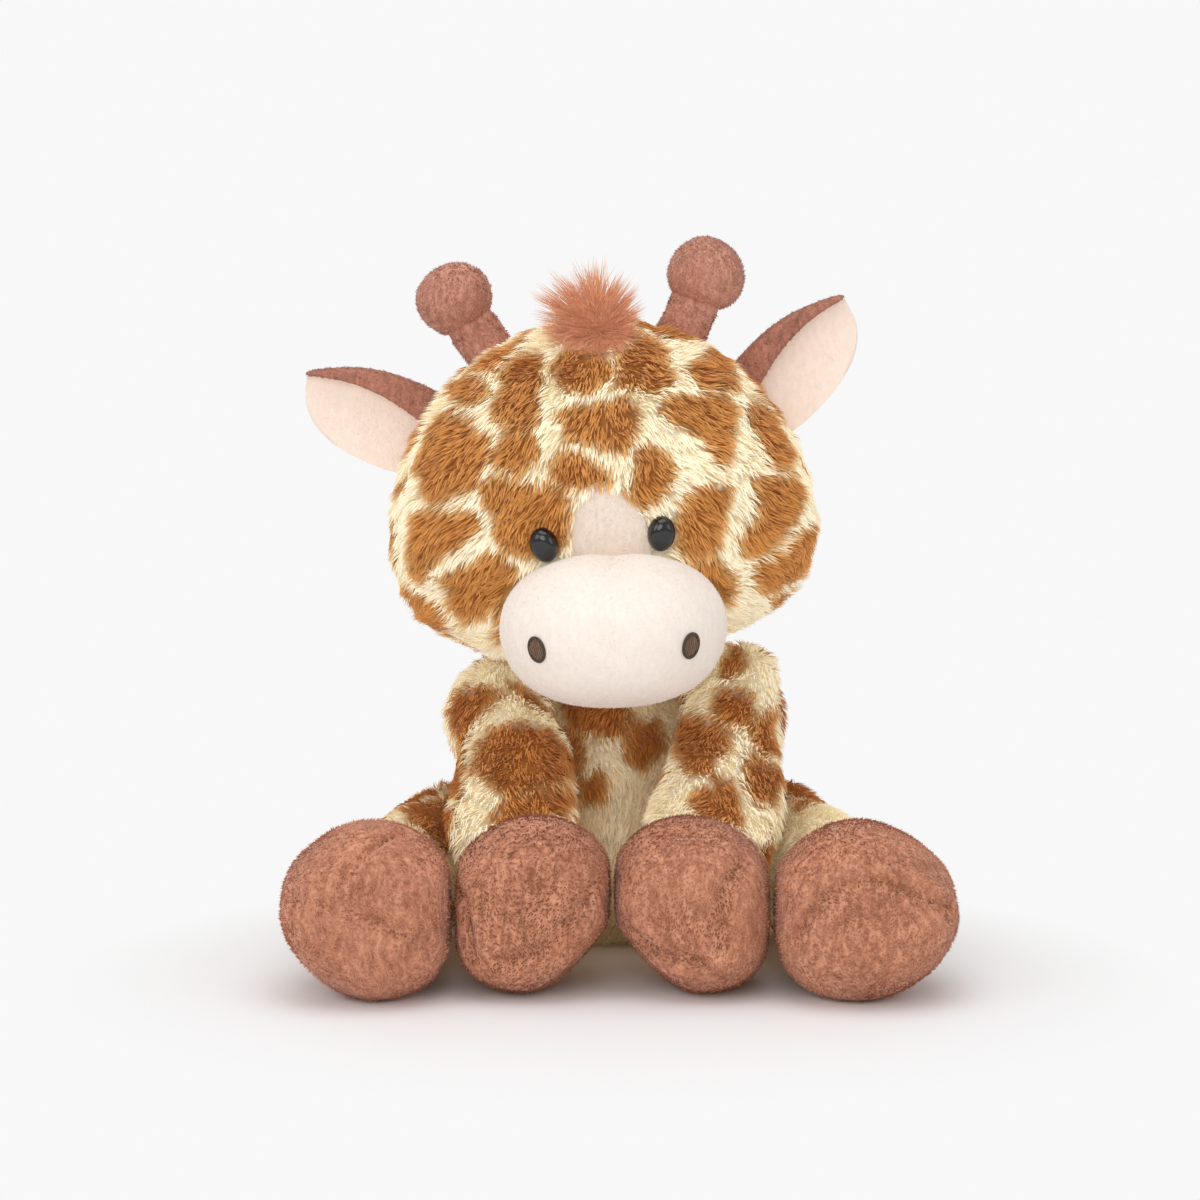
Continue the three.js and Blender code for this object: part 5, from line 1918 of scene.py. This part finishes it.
class LimbMaker(bpy.types.Operator):
    """Sews the arms and legs: furry sleeves and plush hooves"""

    bl_idname = "giraffe.limbs"
    bl_label = "Arms and legs"

    def execute(self, context):
        for limb in ("arm", "leg"):
            for name, side in SIDES:
                self.sleeve(limb, side, f"{limb}_{name}")
                self.hoof(limb, side, f"{limb}_{name}")
        return {"FINISHED"}

    def sleeve(self, limb, side, body):
        node = f"{body}_sleeve"
        root, end = limb_radii(limb)
        inset = 2 * MM if limb == "arm" else sizes("head").skin_inset
        reach = limb_reach(limb, side)
        skin = sleeve_form(f"{node}_cloth", root - inset, end - inset, reach, 22, 44)
        points = corners(skin)
        along = points[:, 2] / reach
        points = carry(points, limb_frame(limb, side))
        if limb == "arm":
            place_corners(skin, points)
            flare = unit(side * outward(skin)[:, 0]) * np.exp(-((along - 0.62) / 0.27) ** 2)
            points[:, 0] += side * flare * 4 * MM
            lifted = unit(outward(skin)[:, 2] + 0.3) * np.exp(-((along - 0.05) / 0.3) ** 2)
            points[:, 2] += lifted * (6.5 if side > 0 else 2.5) * MM
        points[:, 2] = np.maximum(points[:, 2], 0.4 * MM)
        place_corners(skin, points)
        crumple(skin, 0.03, 0.9 * MM, 80 + side)
        seed = 83 + side + (2 if limb == "leg" else 0)
        patches = Patches(skin, LIMB_PATCHES[limb, side], seed, spacing=0.0225, hidden=0.2)
        axis = np.array((hoof_middle(limb, side) - limb_root(limb, side)).normalized())

        def keep(points, normals):
            covered = in_hoof(points, limb, side, 1.2 * MM) | in_torso(points, 5 * MM)
            if limb == "leg":
                covered |= in_limb(points, "arm", side, 3 * MM) | in_hoof(points, "arm", side, 2 * MM)
            return ~covered & (points[:, 2] > 0.8 * MM) & ~in_head(points, 2 * MM)

        def way(points, normals):
            return np.tile(axis + np.array((0, 0, -0.35)), (len(points), 1))

        fur(skin, patches, keep, way, sizes("pile").limb_density, body, (node,), 90 + side, own=(limb, side))
        backed(skin, patches, body, node)

    def hoof(self, limb, side, body):
        colours = sizes("colours")
        middle = hoof_middle(limb, side)
        swell = 1.7 * MM
        size = hoof_size(limb, side, 0.5 * MM + swell) + np.array((3.4, 0, 0)) * MM
        form = pillow(f"{body}_form", size, 2.75, 40)
        points = hoof_shape(corners(form) + np.array(middle), limb, side)
        place_corners(form, squeezed(points, limb, side))
        lines = Creases(Surface(form), CREASES[limb, side])
        lines.press(form, 0.3)
        normal, offset = self.seam(limb, side)

        def sewn(points):
            seam = np.abs((points - np.array(middle)) @ np.array(normal) - offset) < 1.2 * MM
            return seam | lines.near(points) | (points[:, 2] < 1 * MM)

        stuffed(form, sewn, swell, 2.6 * MM)
        lines.press(form, 0.75)
        place_corners(form, squeezed(corners(form), limb, side))
        plush = finish("hoof_plush", plush_finish(colours.hoof, colours.hoof_root, 520))
        for part, sign in (("hoof", 1), ("sole", -1)):
            node = f"{body}_{part}"
            piece = copied(form, f"{node}_plush")
            cut(piece, middle + normal * offset, normal * sign)
            walled(piece, WALL)
            smooth(piece, 75)
            plush.on(piece)
            settle(piece, body, "hoof_plush", node, fill=0.85)
        # Painted shade in the creases, a painted highlight beside them, and each hoof's painted light
        nap(f"{body}_nap", form, colours.hoof, colours.hoof_root, body, "hoof_plush", 110 + side,
            keep=lambda p, n: (p[:, 2] > 0.6 * MM) & ~in_limb(p, limb, side, 4 * MM), sway=0.8,
            shade_and_seam=lambda p: lines.light(p) * HOOF_PAINTED_LIGHT[limb, side])
        bpy.data.objects.remove(form)
        filling = copied(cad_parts[f"{body}_filling"], f"{body}_wadding")
        place_corners(filling, hoof_shape(corners(filling), limb, side))
        finish("wadding", wadding_finish).on(filling)
        settle(filling, body, "fibre_filling", f"{body}_filling")

    def seam(self, limb, side):
        """Normal and place of the seam round the sole"""
        if limb == "arm":
            return Vector((0, -1, 0)), 10 * MM
        out, down = math.tan(math.radians(14)), math.tan(math.radians(37))
        return Vector((side * out, -1, -down)).normalized(), 6 * MM


class BodyMaker(bpy.types.Operator):
    """Sews the body, the neck and the seat"""

    bl_idname = "giraffe.body"
    bl_label = "Body"

    def execute(self, context):
        inset = sizes("head").skin_inset
        swell = 1.5 * MM
        form = pillow("torso_form", torso_size(inset + swell), sizes("body").squareness, 30)
        points = carry(corners(form), torso_matrix())
        points[:, 2] = np.maximum(points[:, 2], 0.3 * MM)
        place_corners(form, points)

        def sewn(points):
            return (np.abs(points[:, 1]) < 2.4 * MM) | (points[:, 2] < 2 * MM)

        stuffed(form, sewn, swell, 4.5 * MM)
        points = corners(form)
        points[:, 2] = np.maximum(points[:, 2], 0.3 * MM)
        place_corners(form, points)
        patches = Patches(form, CHEST_PATCHES, 121, spacing=0.0235, hidden=0.25)
        for node, sign in (("torso_front", 1), ("torso_back", -1)):
            panel = copied(form, f"{node}_cloth")
            cut(panel, (0, 0, 0), (0, sign, 0))
            cut(panel, (0, 0, 2 * MM), (0, 0, -1))
            walled(panel, WALL)
            backed(panel, patches, "torso", node)
        seat = copied(form, "seat_panel_cloth")
        cut(seat, (0, 0, 2 * MM), (0, 0, 1))
        backed(seat, patches, "torso", "seat_panel")

        def keep(points, normals):
            covered = in_head(points, 3 * MM)
            for limb in ("arm", "leg"):
                for _, side in SIDES:
                    covered |= in_limb(points, limb, side, 2.5 * MM)
            return ~covered & (points[:, 2] > 0.8 * MM)

        def way(points, normals):
            return np.column_stack([points[:, 0] / 0.09, points[:, 1] / 0.09, np.full(len(points), -1.0)])

        fur(form, patches, keep, way, sizes("pile").limb_density, "torso", ("torso_front", "torso_back"),
            122, lambda points: (points[:, 1] > 0).astype(int), own=("torso", 0))
        bpy.data.objects.remove(form)
        self.neck(patches, way)
        return {"FINISHED"}

    def neck(self, patches, way):
        body = sizes("body")
        skin = round_form("neck_cover_cloth", 14)
        points = corners(skin) * (body.neck_radius - 2 * MM) + np.array((0, 0, body.neck_rise))
        place_corners(skin, points)

        def keep(points, normals):
            return ~in_torso(points, 4 * MM) & ~in_head(points, 4 * MM)

        fur(skin, patches, keep, way, sizes("pile").limb_density, "neck", ("neck_cover",), 125,
            shorter=lambda points: np.full(len(points), 0.7), own=("neck", 0))
        backed(skin, patches, "neck", "neck_cover")


class TailMaker(bpy.types.Operator):
    """Sews the tail and its tuft"""

    bl_idname = "giraffe.tail"
    bl_label = "Tail"

    def execute(self, context):
        body = sizes("body")
        slope = Matrix.Rotation(-(math.pi / 2 + body.tail_slope), 4, "X")
        matrix = Matrix.Translation((0, body.tail_back, body.tail_rise)) @ slope
        root, end = body.tail_radius - 1 * MM, body.tail_radius - 1.6 * MM
        skin = sleeve_form("tail_cord_cloth", root, end, body.tail_length, 14, 24)
        place_corners(skin, carry(corners(skin), matrix))
        rng = default_rng(131)
        patches = Patches(skin, (), 132, spacing=0.016, hidden=2.0)
        axis = np.array(matrix.to_3x3() @ Vector((0, 0, 1)))
        fur(skin, patches, lambda p, n: ~in_torso(p, 2 * MM), lambda p, n: np.tile(axis, (len(p), 1)),
            sizes("pile").limb_density * 1.6, "tail", ("tail_cord",), 133,
            shorter=lambda p: np.full(len(p), 0.5))
        backed(skin, patches, "tail", "tail_cord", 0.7, rng)
        count = 1800
        ways = rng.normal(size=(count, 3))
        ways /= far(ways)[:, None]
        middle = np.array(matrix @ Vector((0, 0, body.tail_length - 2 * MM)))
        points = middle + ways * body.tail_radius * 0.7
        along = axis + ways * 0.5
        lengths = body.tail_tuft * rng.uniform(0.55, 0.9, count)
        lift = np.full(count, math.radians(35)), np.full(count, math.radians(5))
        long_pile("tail_tuft_pile", points, ways, along, lengths, lift, "tail", "tail_tuft", 134)
        return {"FINISHED"}


class InnerMaker(bpy.types.Operator):
    """Finishes the fillings and the bag of pellets inside"""

    bl_idname = "giraffe.inner"
    bl_label = "Fillings"

    def execute(self, context):
        for name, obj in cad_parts.items():
            if name.endswith("filling"):
                finish("wadding", wadding_finish).on(obj)
        finish("sack", sack_finish).on(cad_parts["pellet_bag"])
        return {"FINISHED"}


class StudioMaker(bpy.types.Operator):
    """Lays the pale floor, hangs the lamps and sets the camera"""

    bl_idname = "giraffe.studio"
    bl_label = "Studio"

    def execute(self, context):
        self.floor()
        self.world(context)
        self.lamp("top_lamp", (0.0, -0.25, 1.3), (0, -0.03, 0.1), 1.2, 5.2)
        self.lamp("front_lamp", (-0.25, -1.5, 0.75), (0, -0.03, 0.12), 1.0, 6.0)
        self.lamp("left_lamp", (-1.1, -0.9, 0.8), (0, -0.03, 0.12), 0.9, 3.4)
        self.lamp("right_lamp", (1.2, -0.8, 0.6), (0, -0.03, 0.12), 0.8, 1.7)
        self.camera(context)
        return {"FINISHED"}

    def floor(self):
        obj = started("studio_floor", bpy.ops.mesh.primitive_grid_add, x_subdivisions=40, y_subdivisions=40,
                      size=sizes("studio").floor)
        made = Finish("studio_white")
        made.set(Base_Color=(0.92, 0.92, 0.93), Roughness=0.9, Specular_IOR_Level=0.0)
        oval = {"Vector": made.place(), "Location": (0, 0.62, 0), "Scale": (6.6, 8.4, 1)}
        laid = made.node("ShaderNodeMapping", None, oval)[0]
        away = made.node("ShaderNodeVectorMath", {"operation": "LENGTH"}, {0: laid})[0]
        beyond = made.ramp(away * 0.5, ((0.36, 0.0), (0.6, 1.0)))
        self.whiten(made, "ShaderNodeEmission", beyond, made.shader, made.output)
        made.on(obj)

    def world(self, context):
        world = bpy.data.worlds.new("studio_world")
        context.scene.world = world
        world.use_nodes = True
        ground = world.node_tree.nodes["Background"]
        ground.inputs["Color"].default_value = (1.0, 0.99, 0.98, 1)
        ground.inputs["Strength"].default_value = 0.55
        output = world.node_tree.nodes["World Output"]
        self.whiten(Nodes(world.node_tree), "ShaderNodeBackground", 1.0, ground, output)

    def whiten(self, made, kind, amount, under, output):
        """Shows the camera plain white in place of what lies under it"""
        plain = made.node(kind, None, {"Color": (sizes("studio").white,) * 3})[0]
        seen = made.node("ShaderNodeLightPath")[0]
        shaders = {0: seen * amount, 1: Value(made, under.outputs[0]), 2: plain}
        made.feed(output.inputs["Surface"], made.node("ShaderNodeMixShader", None, shaders)[0])

    def lamp(self, name, place, aim, size, power):
        data = bpy.data.lights.new(name, "AREA")
        data.shape = "DISK"
        data.size = size
        data.energy = power
        obj = linked(name, data)
        obj.location = place
        obj.rotation_euler = (Vector(aim) - Vector(place)).to_track_quat("-Z", "Y").to_euler()

    def camera(self, context):
        studio = sizes("studio")
        data = bpy.data.cameras.new("camera")
        data.lens = studio.lens / MM
        data.sensor_width = studio.sensor / MM
        data.clip_start = 0.01
        data.clip_end = 50
        obj = linked("camera", data)
        obj.location = camera_place()
        obj.rotation_euler = (math.pi / 2 - studio.elevation, 0, 0)
        context.scene.camera = obj
        context.scene.view_settings.view_transform = "Standard"


class GiraffePanel(bpy.types.Panel):
    """The pieces of the giraffe and the sizes that they are made to"""

    bl_idname = "VIEW3D_PT_giraffe"
    bl_label = "Giraffe"
    bl_space_type = "VIEW_3D"
    bl_region_type = "UI"
    bl_category = "Giraffe"

    def draw(self, context):
        for maker in MAKERS:
            self.layout.operator(maker.bl_idname)
        for name, group in GROUPS.items():
            box = self.layout.box()
            box.label(text=name.capitalize())
            for key in group.__annotations__:
                box.prop(getattr(context.scene, "giraffe_" + name), key)


GROUPS = {
    "head": HeadSizes, "face": FaceSizes, "crown": CrownSizes, "body": BodySizes,
    "limbs": LimbSizes, "pile": PileSizes, "colours": ToyColours, "studio": StudioSizes,
}
MAKERS = (
    StudioMaker, HeadMaker, MuzzleMaker, FaceMaker, OssiconeMaker, EarMaker, PileMaker, BodyMaker, LimbMaker,
    TailMaker, InnerMaker,
)


def register():
    for name, group in GROUPS.items():
        for key, made in group.__annotations__.items():
            made.keywords["name"] = key.replace("_", " ").capitalize()
        bpy.utils.register_class(group)
        setattr(bpy.types.Scene, "giraffe_" + name, PointerProperty(type=group))
    for maker in MAKERS:
        bpy.utils.register_class(maker)
    bpy.utils.register_class(GiraffePanel)


def unregister():
    bpy.utils.unregister_class(GiraffePanel)
    for maker in reversed(MAKERS):
        bpy.utils.unregister_class(maker)
    for name in GROUPS:
        delattr(bpy.types.Scene, "giraffe_" + name)
    for group in reversed(GROUPS.values()):
        bpy.utils.unregister_class(group)


def main():
    register()
    for maker in MAKERS:
        group, name = maker.bl_idname.split(".")
        getattr(getattr(bpy.ops, group), name)()


if __name__ == "__main__":
    main()
